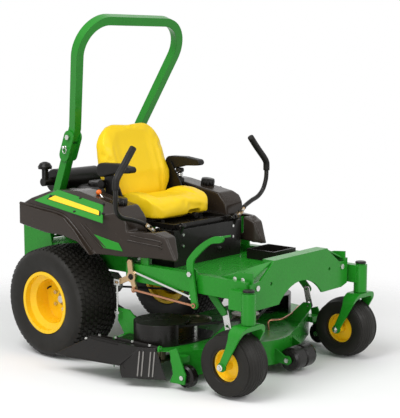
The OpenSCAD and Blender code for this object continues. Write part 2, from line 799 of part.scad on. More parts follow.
module pod() {
  difference() {
    union() {
      intersection() {
        side_plate(pod_inner_s - 20, flare_s + 20)
          polygon(pod_side);
        flat_plate(500, 1000)
          pod_plan(0);
        pod_section(0);
      }
      side_plate(pod_body_s - 60, flare_s)
        polygon(flare_side);
    }
    intersection() {
      side_plate(pod_inner_s - 20, flare_s + 20)
        polygon(pod_cave);
      flat_plate(500, 1000)
        pod_plan(pod_wall);
      pod_section(pod_wall);
    }
    // Room for the steering lever's hinge
    box([503, pod_inner_s - 1, 640], [625, 415, 760]);
  }
}
module fuel_cap(x) {
  top = 914 - (x - 113) * 56 / 327;
  slope = atan(56 / 327);
  translate([x, 430, top])
    rotate([0, slope, 0]) {
      translate([0, 0, seat_clear])
        cylinder(h = cap_h, r = cap_r);
      for (i = [0:11])
        rotate(30 * i)
          translate([cap_r, 0, seat_clear])
            cylinder(h = cap_h - 6, r = 3, $fn = 16);
    }
}
module fender_left() {
  color("#35312f") place() {
    pod();
    fuel_cap(276);
  }
}
module fender_right() {
  x = throttle[0];
  y = throttle[1];
  z = throttle[2];
  color("#35312f") place() right_side() {
    difference() {
      union() {
        pod();
        // Block under the top that carries the throttle pin
        box([x - 22, y - 18, z - 12], [x + 22, y + 18, z + 14]);
      }
      box([x - 68, y - 6, z - 20], [x + 16, y + 6, z + 60]);
      across(x, z, y - 20, y + 20, throttle_pin_r + run_gap);
    }
    fuel_cap(395);
  }
}
panel_t = 5;
module fender_panel() {
  // Plate on the pod's slanted face
  d = unit(pod_ledge[1] - pod_ledge[0]);
  n = [-d[1], d[0]] * -1;
  intersection() {
    rotate([0, pod_tilt, 0])
      front_plate(-400, 1100)
        polygon([pod_ledge[0] - 20 * d, pod_ledge[1] - 4 * d, pod_ledge[1] - 4 * d + panel_t * n,
          pod_ledge[0] - 20 * d + panel_t * n]);
    side_plate(300, 700)
      polygon([[-108, 858], [-19, 915], [330, 862], [416, 783]]);
  }
}
module name_plate() {
  // Plain plate on the pod's tapered side
  a = [314, pod_body_s - 16];
  b = [pod_tip_x + 1, pod_tip_s];
  turn = atan2(b[1] - a[1], b[0] - a[0]);
  translate([a[0], a[1], 0])
    rotate(turn)
      side_plate(0, 4)
        polygon([[15, 712], [155, 672], [178, 630], [70, 642]]);
}
module fender_panels() {
  color("limegreen") place() both_sides() {
    fender_panel();
    name_plate();
  }
}

// Seat box and seat

module front_panel() {
  wall = plate_t;
  hinge_x = seat_hinge_x;
  x0 = pod_tip_x + 8;
  color("#1d1c1b") place() {
    difference() {
      union() {
        box([seat_box_x - wall, -seat_box_half, floor_z + floor_t], [seat_box_x, seat_box_half,
          seat_box_z]);
        both_sides() {
          side_plate(seat_box_half - wall, seat_box_half)
            polygon([[200, rail_top], [flare_x1 + 10, rail_top], [flare_x1 + 10, floor_z + floor_t],
              [seat_box_x - wall + eps, floor_z + floor_t], [seat_box_x - wall + eps, seat_box_z],
              [200, seat_box_z]]);
          // Ears for the seat hinge
          side_plate(seat_box_half - 60, seat_box_half - 48)
            link_shape([hinge_x, seat_hinge_z], [seat_box_x - 20, seat_box_z - 30], 15);
        }
      }
      both_sides() {
        across(hinge_x, seat_hinge_z, seat_box_half - 62, seat_box_half - 46, 6 + run_gap);
        across(lever_x, lever_z, seat_box_half - wall - 1, seat_box_half + 1, lever_pin_r + run_gap);
      }
    }
    // Storage box beside the driver's left foot
    difference() {
      box([x0, 190, floor_z + floor_t], [x0 + 190, rail_front_s - floor_t, floor_z + 62]);
      box([x0 + 8, 198, floor_z + floor_t + 8], [x0 + 182, rail_front_s - floor_t - 8, floor_z + 63]);
    }
  }
}
seat_hinge_x = seat_box_x + 4;
seat_hinge_z = seat_box_z + 22;
platform_z0 = seat_box_z + slide_gap;
platform_t = 8;
slide_rail_s = 160;
slide_rail_h = 18;
module seat_platform() {
  color("#262524") place() difference() {
    union() {
      box([seat_rear_x + 20, -seat_half_w + 5, platform_z0], [seat_box_x - 36, seat_half_w - 5,
        platform_z0 + platform_t]);
      box([seat_box_x - 42, -seat_half_w + 5, platform_z0 + platform_t - eps],
        [seat_box_x - 36, seat_half_w - 5, pan_z0 - slide_gap]);
      both_sides() {
        // Hinge arms
        side_plate(seat_box_half - 80, seat_box_half - 62)
          polygon([[seat_box_x - 60, platform_z0], [seat_box_x - 30, platform_z0],
            [seat_hinge_x + 12, seat_hinge_z - 8], [seat_hinge_x + 6, seat_hinge_z + 12],
            [seat_box_x - 60, platform_z0 + platform_t + 6]]);
        // Edge turned up under the seat
        box([seat_rear_x + 20, seat_half_w - 11, platform_z0 + platform_t - eps],
          [seat_box_x - 36, seat_half_w - 5, pan_z0 - slide_gap]);
        // Slide rails
        box([seat_rear_x + 30, slide_rail_s - 14, platform_z0 + platform_t - eps],
          [seat_front_x - 40, slide_rail_s + 14, platform_z0 + platform_t + slide_rail_h]);
      }
    }
    both_sides()
      across(seat_hinge_x, seat_hinge_z, seat_box_half - 82, seat_box_half - 60, 6 + run_gap);
  }
}
pan_z0 = platform_z0 + platform_t + slide_rail_h + slide_gap;
pan_t = 6;
cushion_z0 = pan_z0 + pan_t + rest_gap;
cushion_top = cushion_z0 + cushion_h;
knob_y = 80;
arm_pivot_x = 120;
arm_pivot_z = 1005;
arm_pin_r = 9;
back_top = cushion_top + back_h;
module seat_pan() {
  color("#1d1c1b") place() {
    box([seat_rear_x - 10, -seat_half_w + 15, pan_z0], [seat_front_x - 55, seat_half_w - 15,
      pan_z0 + pan_t]);
    both_sides() {
      // Runner that hooks over the slide rail
      box([seat_rear_x + 60, slide_rail_s + 14 + slide_gap, platform_z0 + platform_t + 4],
        [seat_front_x - 80, slide_rail_s + 22, pan_z0 + eps]);
      // Side plate that carries the backrest and the armrest
      side_plate(seat_half_w + 1, seat_half_w + 9)
        polygon([[seat_rear_x - 10, pan_z0], [seat_rear_x + 140, pan_z0],
          [seat_rear_x + 70, arm_pivot_z - 90], [arm_pivot_x + 26, arm_pivot_z + 22],
          [arm_pivot_x - 26, arm_pivot_z + 22], [seat_rear_x - 40, arm_pivot_z - 120]]);
      box([seat_rear_x - 10, seat_half_w - 16, pan_z0], [seat_rear_x + 140, seat_half_w + 2,
        pan_z0 + pan_t]);
      // Armrest pivot stub
      across(arm_pivot_x, arm_pivot_z, seat_half_w + 8, seat_half_w + 46, arm_pin_r);
    }
    // Adjuster knobs at the side and under the front of the seat
    across(95, 934, -seat_half_w - 32, -seat_half_w - 9, 25);
    along(knob_y, pan_z0 + pan_t / 2, seat_front_x - 68, seat_front_x - 30, 9);
    along(knob_y, pan_z0 + pan_t / 2, seat_front_x - 30, seat_front_x - 4, 17);
  }
}
module seat_cushion() {
  w = seat_half_w;
  x0 = seat_rear_x;
  x1 = seat_front_x;
  z1 = cushion_top;
  color("gold") place() difference() {
    intersection() {
      flat_plate(cushion_z0, z1)
        polygon(concat([[x0, -w + 20], [x1 - 120, -w]], arc([x1 - 100, -w + 100], 100, -70, -10, 6),
          arc([x1 - 100, w - 100], 100, 10, 70, 6), [[x1 - 120, w], [x0, w - 20]]));
      // Side view: highest in front of the backrest, rolled down at the front
      side_plate(-w - 10, w + 10)
        polygon([[x0 - 1, cushion_z0 - 1], [x1 - 8, cushion_z0 - 1], [x1, cushion_z0 + 22],
          [x1 - 10, z1 - 88],
          [x1 - 34, z1 - 54], [x1 - 76, z1 - 28], [x1 - 158, z1 - 6], [x0 + 115, z1], [x0 + 40, z1 - 24],
          [x0 - 1, z1 - 54]]);
    }
    // Notch for the front adjuster knob
    box([x1 - 70, knob_y - 50, cushion_z0 - 2], [x1 + 1, knob_y + 50, cushion_z0 + 22]);
  }
}
module back_outline() {
  w = seat_half_w + 1 - rest_gap;
  bend = 150;
  low = cushion_top - 70;
  half = concat([[w - 40, low], [w - 12, low + 75], [w, low + 135]], arc([w - bend, back_top - bend],
    bend, 0, 90, 10));
  polygon(concat(half, flip(half)));
}
module seat_back() {
  x = seat_rear_x - rest_gap;
  z = cushion_top;
  color("gold") place() intersection() {
    front_plate(-100, seat_rear_x + 20)
      back_outline();
    // Side view: thick at the waist and thin at the top
    side_plate(-seat_half_w - 10, seat_half_w + 10)
      polygon([[x, z - 71], [x, z - 20], [x + 5, z + 26], [x, z + 72], [x - 35, z + 166], [x - 84, z + 312],
        [x - 100, back_top - 12], [x - 120, back_top + 1], [x - 142, back_top - 16], [x - 138, z + 250],
        [x - 124, z + 110], [x - 90, z - 20], [x - 75, z - 71]]);
  }
}
module armrest() {
  s0 = seat_half_w + 12;
  difference() {
    side_plate(s0, s0 + 52)
      polygon(concat(arc([arm_pivot_x + 10, arm_pivot_z + 14], 40, 90, 270, 10),
        [[arm_pivot_x + 120, arm_pivot_z + 2]], arc([arm_pivot_x + 220, arm_pivot_z + 26], 18, -80, 80, 6),
        [[arm_pivot_x + 120, arm_pivot_z + 56]]));
    across(arm_pivot_x, arm_pivot_z, s0 - 1, s0 + 36, arm_pin_r + run_gap);
  }
}
module armrest_left() {
  color("#1a1918") place() armrest();
}
module armrest_right() {
  color("#1a1918") place() right_side() armrest();
}

// Steering levers

lever_hinge_s = seat_box_half + 42;
lever_hinge_z = lever_z + 26;
tongue_t = 10;
ear_gap = tongue_t / 2 + slide_gap;
module lever_base() {
  s0 = seat_box_half + 2;
  difference() {
    union() {
      across(lever_x, lever_z, s0, s0 + 26, 19);
      for (x = [lever_x - ear_gap - 8, lever_x + ear_gap])
        front_plate(x, x + 8) {
          translate([lever_hinge_s, lever_hinge_z])
            circle(13);
          polygon([[s0, lever_z - 12], [s0 + 26, lever_z - 12], [s0 + 26, lever_hinge_z - 11],
            [lever_hinge_s + 4, lever_hinge_z - 12], [lever_hinge_s - 6, lever_hinge_z + 11],
            [s0, lever_z + 14]]);
        }
    }
    across(lever_x, lever_z, s0 - 1, s0 + 27, lever_pin_r + run_gap);
    along(lever_hinge_s, lever_hinge_z, lever_x - 40, lever_x + 40, link_pin_r + run_gap);
  }
  // Hinge pin
  along(lever_hinge_s, lever_hinge_z, lever_x - ear_gap - 10, lever_x + ear_gap + 10, link_pin_r);
}
lever_path = [[lever_x, 374, 752], [lever_x - 4, 420, 776], [lever_x - 12, 500, 804],
  [lever_x - 16, 570, 824],
  [lever_x - 12, 612, 862], [lever_x - 3, 626, 915], [lever_x, 628, 950], [lever_x, 628, 975]];
grip_path = [[lever_x, 628, 975.6], [lever_x, 628, 995], [lever_x + 1, 624, 1022], [lever_x, 604, 1050],
  [lever_x - 4, 560, 1096],
  [lever_x - 8, 524, 1136], [lever_x - 10, 488, 1176]];
module lever() {
  a = [lever_hinge_s, lever_hinge_z];
  b = [lever_path[1][1], lever_path[1][2]];
  difference() {
    union() {
      front_plate(lever_x - tongue_t / 2, lever_x + tongue_t / 2)
        link_shape(a, b, 12);
      swept_tube(curve(lever_path, 4), lever_r, 12);
    }
    along(a[0], a[1], lever_x - 20, lever_x + 20, link_pin_r + run_gap);
  }
}
module grip() {
  swept_tube(curve(grip_path, 4), grip_r, 12);
}
module lever_base_left() {
  color("tan") place() lever_base();
}
module lever_base_right() {
  color("tan") place() right_side() lever_base();
}
module lever_left() {
  color("#1c1b1a") place() lever();
}
module lever_right() {
  color("#1c1b1a") place() right_side() lever();
}
module grip_left() {
  color("#171615") place() grip();
}
module grip_right() {
  color("#171615") place() right_side() grip();
}
throttle = [290, 405, 862];
throttle_ball = [206, 916];
throttle_pin_r = 5;
module throttle_lever() {
  p = [throttle[0], throttle[2]];
  color("darkorange") place() right_side() {
    difference() {
      union() {
        side_plate(throttle[1] - 3, throttle[1] + 3)
          link_shape(p, throttle_ball, 4);
        across(p[0], p[1], throttle[1] - 3, throttle[1] + 3, throttle_pin_r + 4);
      }
      across(p[0], p[1], throttle[1] - 4, throttle[1] + 4, throttle_pin_r + run_gap);
    }
    translate([throttle_ball[0], throttle[1], throttle_ball[1]])
      sphere(15);
  }
}

// Cutting deck

deck_top = deck_z + deck_h;
deck_r = blade_r + 9 + deck_wall;
centre_x = outer_spindle_x + centre_lead;
spindles = [[outer_spindle_x, -outer_spindle_s], [centre_x, 0], [outer_spindle_x, outer_spindle_s]];
lead_n = unit([outer_spindle_s, centre_lead]);
// Outline that wraps the three spindles at radius r
module wrap_shape(r) {
  for (p = spindles)
    translate(p)
      circle(r, $fn = 96);
  polygon([[outer_spindle_x - r, -outer_spindle_s], [outer_spindle_x, -outer_spindle_s] + r * [lead_n[0],
    -lead_n[1]],
    [centre_x, 0] + r * [lead_n[0], -lead_n[1]], [centre_x, 0] + r * lead_n,
    [outer_spindle_x, outer_spindle_s] + r * lead_n, [outer_spindle_x - r, outer_spindle_s]]);
}
gauge_x = outer_spindle_x + blade_r + 54;
gauge_s = outer_spindle_s + blade_r - 110;
gauge_half = 27;
gauge_z = deck_z + 22;
roller_x = centre_x + deck_r + roller_r + 8;
roller_y0 = -45;
roller_y1 = 135;
roller_z = deck_z + 35;
mouth_x0 = outer_spindle_x - blade_r + 76;
mouth_x1 = outer_spindle_x + blade_r - 86;
hanger_s = 350;
hanger_pin_x = 1082;
hanger_pin_z = 284;
// Layers of the lift linkage outside the rails
crank_in_s = rail_out_s + 2;
crank_t = 8;
rod_s = crank_in_s + crank_t + 1;
rod_t = 8;
bell_s = rod_s + rod_t + 1;
bell_t = 8;
pedal_s = bell_s;
pedal_t = 12;
lift_rod_s = pedal_s + pedal_t + 1;
eye_half = 16;
eye_t = 10;
rear_link_s = bell_s + bell_t + 1 + eye_t / 2;
rear_arm = 100;
rear_swing = 23.6;
rear_pin_x = rear_lift_x - rear_arm * cos(rear_swing);
rear_pin_z = lift_z - rear_arm * sin(rear_swing);
chute_hinge_s = outer_spindle_s + blade_r - 76;
lug_x0 = mouth_x0 - 20;
lug_x1 = outer_spindle_x + 131;
chute_bend_s = chute_hinge_s + 46;
// The chute's front panel stands along a slanted line in front of the right spindle
panel_turn = 28.2;
panel_tilt = 20.3;
panel_r = blade_r + 18;
panel_z = deck_z - 5;
chute_hinge_z = deck_top + 14;
chute_pin_r = 5;
module deck_shell() {
  color("forestgreen") place() difference() {
    union() {
      difference() {
        flat_plate(deck_z, deck_top)
          wrap_shape(deck_r);
        // Right edge cut back under the chute
        box([mouth_x0 - 10, -left_s - 20, deck_z - 1], [mouth_x1 + 30, -chute_bend_s + 12, deck_top + 1]);
        translate([outer_spindle_x, -outer_spindle_s, 0])
          rotate(panel_turn)
            box([-panel_r, -2 * panel_r, deck_z - 1], [panel_r, -panel_r + 55, deck_top + 1]);
      }
      // Carriers of the front corner wheels
      both_sides() {
        side_plate(gauge_s + gauge_half + 4, gauge_s + gauge_half + 12)
          polygon([[gauge_x - 84, deck_top + 18], [gauge_x - 40, deck_top + 34],
            [gauge_x - 18, deck_top - 8],
            [gauge_x + 22, gauge_z + 16], [gauge_x + 14, gauge_z - 34], [gauge_x - 82, gauge_z - 38],
            [gauge_x - 62, gauge_z + 10]]);
        box([gauge_x - 84, gauge_s - 40, gauge_z + gauge_r + 6], [gauge_x - 20, gauge_s + gauge_half + 5,
          deck_top - 14]);
        // Upright that the rear lift link hooks into
        side_plate(rear_link_s - 30, rear_link_s - 20)
          polygon([[rear_pin_x + 30, deck_top - 10], [rear_pin_x + 130, deck_top - 10],
            [rear_pin_x + 110, deck_top + 90], [rear_pin_x + 60, deck_top + 130],
            [rear_pin_x - 20, deck_top + 130], [rear_pin_x - 20, deck_top + 60]]);
        // Upright for the front hanger pin
        side_plate(hanger_s - 18, hanger_s - 8)
          polygon([[hanger_pin_x - 170, deck_top - 10], [hanger_pin_x - 60, deck_top - 10],
            [hanger_pin_x + 16, hanger_pin_z - 16], [hanger_pin_x + 16, hanger_pin_z + 16],
            [hanger_pin_x - 30, hanger_pin_z + 16]]);
      }
      // Roller bracket
      for (y = [roller_y0 - 14, roller_y1 + 4])
        side_plate(y, y + 10) {
          polygon([[centre_x + deck_r - 50, deck_top - 20], [roller_x - 20, roller_z + 24],
            [roller_x + 24, roller_z], [roller_x - 10, roller_z - 22], [centre_x + deck_r - 50, deck_z
            + 20]]);
          translate([roller_x, roller_z])
            circle(24);
        }
      // Lugs of the chute hinge
      for (x = [lug_x0, lug_x1])
        side_x_lug(x);
    }
    flat_plate(deck_z - 1, deck_top - deck_wall)
      wrap_shape(deck_r - deck_wall);
    // Discharge mouth
    box([mouth_x0, -left_s - 20, deck_z - 1], [mouth_x1, -outer_spindle_s - 60, deck_top - 12]);
    for (p = spindles)
      upright(p[0], p[1], deck_top - deck_wall - 1, deck_top + 1, shaft_r + 12);
    both_sides()
      across(gauge_x, gauge_z, gauge_s, gauge_s + gauge_half + 20, gauge_axle_r + run_gap);
    across(roller_x, roller_z, roller_y0 - 20, roller_y1 + 20, gauge_axle_r + run_gap);
    both_sides()
      across(hanger_pin_x, hanger_pin_z, hanger_s - 20, hanger_s - 6, link_pin_r + run_gap);
    along(-chute_hinge_s, chute_hinge_z, lug_x0 - 20, lug_x1 + 30, chute_pin_r + run_gap);
  }
}
module side_x_lug(x) {
  front_plate(x, x + 12) {
    translate([-chute_hinge_s, chute_hinge_z])
      circle(12);
    translate([-chute_hinge_s - 12, deck_top - 2])
      square([24, chute_hinge_z - deck_top + 2]);
  }
}
module deck_hardware() {
  color("silver") place() {
    both_sides() {
      // Corner wheel axle bolts
      across(gauge_x, gauge_z, gauge_s - gauge_half - 6, gauge_s + gauge_half + 12, gauge_axle_r);
      hex_head(gauge_x, gauge_s + gauge_half + 12, gauge_z, 13, 8, [-90, 0, 0]);
      across(gauge_x, gauge_z, gauge_s - gauge_half - 12, gauge_s - gauge_half - 6, 14);
      // Front hanger pins
      across(hanger_pin_x, hanger_pin_z, hanger_s - 18, hanger_s + 12, link_pin_r);
      across(hanger_pin_x, hanger_pin_z, hanger_s + 12, hanger_s + 15, link_pin_r + 5);
      // Rear lift links with their slotted eyes
      rear_link();
    }
    across(roller_x, roller_z, roller_y0 - 14, roller_y1 + 14, gauge_axle_r);
    hex_head(roller_x, roller_y0 - 14, roller_z, 13, 8, [90, 0, 0]);
    hex_head(roller_x, roller_y1 + 14, roller_z, 13, 8, [-90, 0, 0]);
    upright(idler_at[0], idler_at[1], deck_top, belt_z + 16, shaft_r);
    along(-chute_hinge_s, chute_hinge_z, lug_x0, lug_x1 + 12, chute_pin_r);
  }
}
module rear_link() {
  // The eye is slotted because the bell crank's pin swings on an arc
  slot = rear_arm * (1 - cos(rear_swing));
  difference() {
    union() {
      side_plate(rear_link_s - eye_t / 2, rear_link_s + eye_t / 2)
        translate([rear_pin_x - slot / 2, rear_pin_z])
          square([slot + 2 * eye_half, 2 * eye_half], center = true);
      upright(rear_pin_x - slot / 2, rear_link_s, deck_top + 118, rear_pin_z - eye_half + eps, 5);
      box([rear_pin_x - 18, rear_link_s - 20, deck_top + 104], [rear_pin_x + 14, rear_link_s + 8,
        deck_top + 118 + eps]);
    }
    side_plate(rear_link_s - eye_t, rear_link_s + eye_t)
      link_shape([rear_pin_x + 2, rear_pin_z], [rear_pin_x - slot - 2, rear_pin_z], link_pin_r + 1);
  }
}
housing_h = 62;
cover_r = 145;
cover_t = 4;
cover_z = belt_z + 25;
module spindle_housings() {
  color("#3b3d3c") place() {
    for (p = spindles)
      translate([p[0], p[1], deck_top])
        rotate_extrude()
          polygon([[shaft_r + run_gap, 0], [68, 0], [68, 10], [44, 16], [34, housing_h - 8],
            [34, housing_h], [shaft_r + run_gap, housing_h]]);
    both_sides()
      belt_cover();
  }
}
// Cover over an outer pulley, open towards the belt
module belt_cover() {
  difference() {
    upright(outer_spindle_x, outer_spindle_s, deck_top, cover_z + cover_t, cover_r);
    upright(outer_spindle_x, outer_spindle_s, deck_top - 1, cover_z, cover_r - cover_t);
    box([outer_spindle_x - 2 * cover_r, 0, deck_top - 1], [outer_spindle_x + 2 * cover_r,
      outer_spindle_s + 25, cover_z]);
  }
}
blade_t = 6;
blade_w = 60;
blade_z = deck_z + 24;
wing_h = 22;
module spindle(i) {
  p = spindles[i];
  color("#7d7648") place() translate([p[0], p[1], 0]) {
    // Shaft with its pulley
    upright(0, 0, blade_z + blade_t + slide_gap, belt_z + 22, shaft_r);
    translate([0, 0, belt_z])
      sheave(pulley_r, shaft_r + seat_clear);
    upright(0, 0, blade_z + blade_t + slide_gap, deck_top - deck_wall - 6, shaft_r + 10);
    // Blade with its lifted wings and bolt
    difference() {
      union() {
        intersection() {
          box([-blade_w / 2, -blade_r, blade_z], [blade_w / 2, blade_r, blade_z + blade_t]);
          upright(0, 0, blade_z, blade_z + blade_t, blade_r);
        }
        for (k = [0, 180])
          rotate(k)
            translate([-blade_w / 2, blade_r - 108, blade_z + blade_t])
              rotate([90, 0, 90])
                linear_extrude(blade_t)
                  polygon([[0, -1], [84, -1], [84, wing_h], [28, wing_h]]);
      }
      upright(0, 0, blade_z - 1, blade_z + blade_t + 1, 8 + run_gap);
    }
    hex_head(0, 0, blade_z - 12, 15, 12, [0, 0, 0]);
  }
}
module spindle_right() {
  spindle(0);
}
module spindle_centre() {
  spindle(1);
}
module spindle_left() {
  spindle(2);
}
belt_r = pulley_r - belt_w + 1;
// Loop round the clutch and the three spindles at radius r
function belt_loop(r) =
  let (a = atan2(outer_spindle_s, outer_spindle_x - engine_x), b = atan2(lead_n[1], lead_n[0]))
    concat(arc([engine_x, 0], r, 90 + a, 270 - a, 18), arc(spindles[0], r, 270 - a, 360 - b, 18),
      arc(spindles[1], r, -b, b, 8), arc(spindles[2], r, b, 90 + a, 18));
module deck_belt() {
  color("#141414") place()
    flat_plate(belt_z - belt_h / 2, belt_z + belt_h / 2)
      difference() {
        polygon(belt_loop(belt_r + belt_w - 2));
        polygon(belt_loop(belt_r));
      }
}
idler_r = 95;
// The idler runs inside the loop, a little nearer to the right spindle
idler_at = (spindles[0] + spindles[1]) / 2 - (idler_r - 69) * [lead_n[0], -lead_n[1]] - 40 * [lead_n[1],
  lead_n[0]];
module deck_idler() {
  color("#7d7648") place() {
    translate([idler_at[0], idler_at[1], belt_z])
      rotate_extrude($fn = 64)
        polygon([[shaft_r + run_gap, -10], [idler_r - 8, -10], [idler_r - 8, 8], [idler_r - 20, 14],
          [30, 20], [26, 12], [shaft_r + run_gap, 12]]);
  }
}
chute_t = 6;
chute_tail_x = mouth_x0 - 321;
chute_low_z = deck_z + 40;
// Moves a flat shape (along the panel, up the panel) to the chute's front panel
module on_panel() {
  translate([outer_spindle_x, -outer_spindle_s, panel_z])
    rotate(panel_turn)
      translate([0, -panel_r, 0])
        rotate([90 - panel_tilt, 0, 0])
          children();
}
module chute() {
  top = deck_top + 5;
  s0 = chute_hinge_s;
  s1 = chute_bend_s;
  h = (top + chute_t - panel_z) / cos(panel_tilt);
  color("#2b2826") place() difference() {
    union() {
      // Flange and sloping sheet
      intersection() {
        front_plate(chute_tail_x, lug_x1 - 2)
          polygon([[-s0 + 9, top], [-s0 + 9, top + chute_t], [-s1 - 2, top + chute_t],
            [-chute_s, chute_low_z],
            [-chute_s + 4, chute_low_z - 4], [-s1, top]]);
        flat_plate(0, deck_top + 100)
          polygon([[mouth_x0 - 137, -s0 + 20], [lug_x1 - 2, -s0 + 20], [lug_x1 - 12, -s0 - 12],
            [outer_spindle_x + 40, -s1 - 10], [outer_spindle_x - 22, -s1 - 84],
            [chute_tail_x, -chute_s - 1],
            [mouth_x0 - 145, -s1]]);
      }
      // Front panel with two pairs of ribs
      on_panel()
        linear_extrude(chute_t)
          polygon([[-140, 0], [92, 0], [22, h], [-70, h], [-156, h * 0.43], [-152, h * 0.2]]);
      for (t = [-62, -42, -4, 16])
        on_panel()
          translate([t, 8, chute_t - eps])
            cube([8, h - 24, 4]);
      // Hinge barrel
      along(-s0, chute_hinge_z, lug_x0 + 13, lug_x1 - 1, chute_pin_r + 4);
      box([lug_x0 + 13, -s0 - 9, top + 1], [lug_x1 - 1, -s0 + 9, chute_hinge_z]);
    }
    along(-s0, chute_hinge_z, lug_x0 + 10, lug_x1 + 2, chute_pin_r + run_gap);
    // Clearance round the hinge lugs
    for (x = [lug_x0 - 1, lug_x1 - 1])
      box([x, -s0 - 14, top - 1], [x + 14, -s0 + 21, top + 40]);
  }
}
module gauge_wheel() {
  turned(gauge_x, gauge_s, gauge_z, [[gauge_axle_r + run_gap, -gauge_half], [22, -gauge_half],
    [24, -gauge_half + 8],
    [gauge_r - 12, -gauge_half + 8], [gauge_r - 8, -gauge_half], [gauge_r, -gauge_half + 10],
    [gauge_r, gauge_half - 10],
    [gauge_r - 8, gauge_half], [gauge_r - 12, gauge_half - 8], [24, gauge_half - 8], [22, gauge_half],
    [gauge_axle_r + run_gap, gauge_half]]);
}
module gauge_wheel_left() {
  color("#1e1d1c") place() gauge_wheel();
}
module gauge_wheel_right() {
  color("#1e1d1c") place() right_side() gauge_wheel();
}
module front_roller() {
  h = (roller_y1 - roller_y0) / 2;
  side = [[gauge_axle_r + run_gap, h - 1], [20, h - 1], [roller_r - 14, h - 3], [roller_r - 3, h - 10],
    [roller_r, h - 22],
    [roller_r, 10], [roller_r - 7, 5]];
  color("#1e1d1c") place() turned(roller_x, roller_y0 + h, roller_z, concat(side,
    [for (p = back(side)) [p[0], -p[1]]]));
}

// Deck lift

lower_arm = 69;
lower_pin = [rear_lift_x + lower_arm * sin(rear_swing), lift_z - lower_arm * cos(rear_swing)];
sync_arm = 35.5;
sync_rear = [rear_lift_x - sync_arm * sin(rear_swing), lift_z + sync_arm * cos(rear_swing)];
front_swing = 15.25;
crank_arm = 54;
sync_front = [front_lift_x - crank_arm * sin(front_swing), lift_z - crank_arm * cos(front_swing)];
front_arm = 175;
front_rest = 45;
front_end = [front_lift_x + front_arm * cos(front_rest), lift_z - front_arm * sin(front_rest)];
pedal_at = [front_lift_x - 3, pedal_z];
pedal_swing = 10;
pedal_arm = 159;
pedal_pin = pedal_at + pedal_arm * [sin(pedal_swing), -cos(pedal_swing)];

module bell_plate() {
  side_plate(bell_s, bell_s + bell_t) {
    link_shape([rear_lift_x, lift_z], [rear_pin_x, rear_pin_z], 15);
    link_shape([rear_lift_x, lift_z], lower_pin, 15);
    link_shape([rear_lift_x, lift_z], [rear_lift_x - 10, lift_z + 74], 17);
    translate([rear_lift_x, lift_z])
      circle(30);
  }
}
module rear_lift_shaft() {
  color("tan") place() {
    across(rear_lift_x, lift_z, -bell_s - eps, bell_s + eps, lift_shaft_r);
    both_sides() {
      bell_plate();
      // Pin in the rear link's slotted eye
      across(rear_pin_x, rear_pin_z, bell_s + bell_t - eps, rear_link_s + eye_t / 2 + 2, link_pin_r);
    }
    across(lower_pin[0], lower_pin[1], -lift_rod_s - rod_t - 2, -bell_s - bell_t + eps, link_pin_r);
    across(sync_rear[0], sync_rear[1], -bell_s - eps, -rod_s + 0.4, link_pin_r);
  }
}
module front_lift_shaft() {
  color("forestgreen") place() {
    across(front_lift_x, lift_z, -crank_in_s - crank_t, rail_out_s + 10, lift_shaft_r);
    both_sides() {
      side_plate(hanger_s + 12, hanger_s + 22)
        link_shape([front_lift_x, lift_z], front_end, 20);
      across(front_end[0], front_end[1], hanger_s + 1, hanger_s + 12 + eps, link_pin_r);
    }
    side_plate(-crank_in_s - crank_t, -crank_in_s)
      link_shape([front_lift_x, lift_z], sync_front, 18);
    across(sync_front[0], sync_front[1], -rod_s - rod_t - 0.4, -crank_in_s - crank_t + eps, link_pin_r);
  }
}
hanger_up = 14;
// Half of the way that the deck pin drifts sideways in the hanger's slot
hanger_drift = 2.7;
hanger_half = 18;
module front_hangers() {
  pin = [hanger_pin_x, hanger_pin_z];
  d = unit(pin - front_end);
  mid = pin + hanger_drift * [d[1], -d[0]];
  color("silver") place() both_sides()
    difference() {
      side_plate(hanger_s + 1, hanger_s + 7)
        link_shape(front_end, mid, hanger_half);
      across(front_end[0], front_end[1], hanger_s, hanger_s + 8, link_pin_r + run_gap);
      side_plate(hanger_s, hanger_s + 8)
        link_shape(mid - hanger_up * d, mid, link_pin_r + hanger_drift + rest_gap);
    }
}
module sync_rod() {
  color("silver") place() rod(sync_front, sync_rear, rod_s, rise(sync_arm, rear_swing)
    + rise(crank_arm, front_swing));
}
// Flat-eyed rod from a snug pin at a to a loose eye at b, slotted by slack
module rod(a, b, s, slack) {
  difference() {
    union() {
      side_plate(-s - rod_t, -s)
        link_shape(a, b, 5);
      across(a[0], a[1], -s - rod_t, -s, 13);
      side_plate(-s - rod_t, -s)
        link_shape(b, b + [0, slack], 13);
    }
    across(a[0], a[1], -s - rod_t - 1, -s + 1, link_pin_r + run_gap);
    side_plate(-s - rod_t - 1, -s + 1)
      link_shape(b, b + [0, slack], link_pin_r + loose_gap);
  }
}
function rise(arm, swing) = arm * (1 - cos(swing));
module lift_rod() {
  color("silver") place() rod(pedal_pin, lower_pin, lift_rod_s, rise(pedal_arm,
    pedal_swing) - rise(lower_arm, rear_swing));
}
module lift_pedal() {
  // Edges of the bent arm, from the pivot up to the foot plate
  rear_edge = curve([[-19, 2], [-24, 58], [1, 97], [61, 154], [145, 203], [202, 212]], 5);
  front_edge = curve([[215, 199], [198, 180], [138, 168], [93, 138], [48, 97], [21, 64], [19, 2]], 4);
  color("forestgreen") place() difference() {
    union() {
      side_plate(-pedal_s - pedal_t, -pedal_s) {
        link_shape(pedal_at, pedal_pin, 19);
        translate(pedal_at)
          polygon(concat(rear_edge, front_edge));
      }
      // Foot plate
      side_plate(-pedal_s - eps, -pedal_s + 62)
        translate(pedal_at)
          polygon([[118, 193], [202, 212], [203, 202], [120, 183]]);
      // Pin for the lift rod
      across(pedal_pin[0], pedal_pin[1], -lift_rod_s - rod_t - 2, -pedal_s - pedal_t + eps, link_pin_r);
    }
    across(pedal_at[0], pedal_at[1], -pedal_s - pedal_t - 1, -pedal_s + 1, lever_pin_r + run_gap);
  }
}

// Pins and bolts fixed to the frame

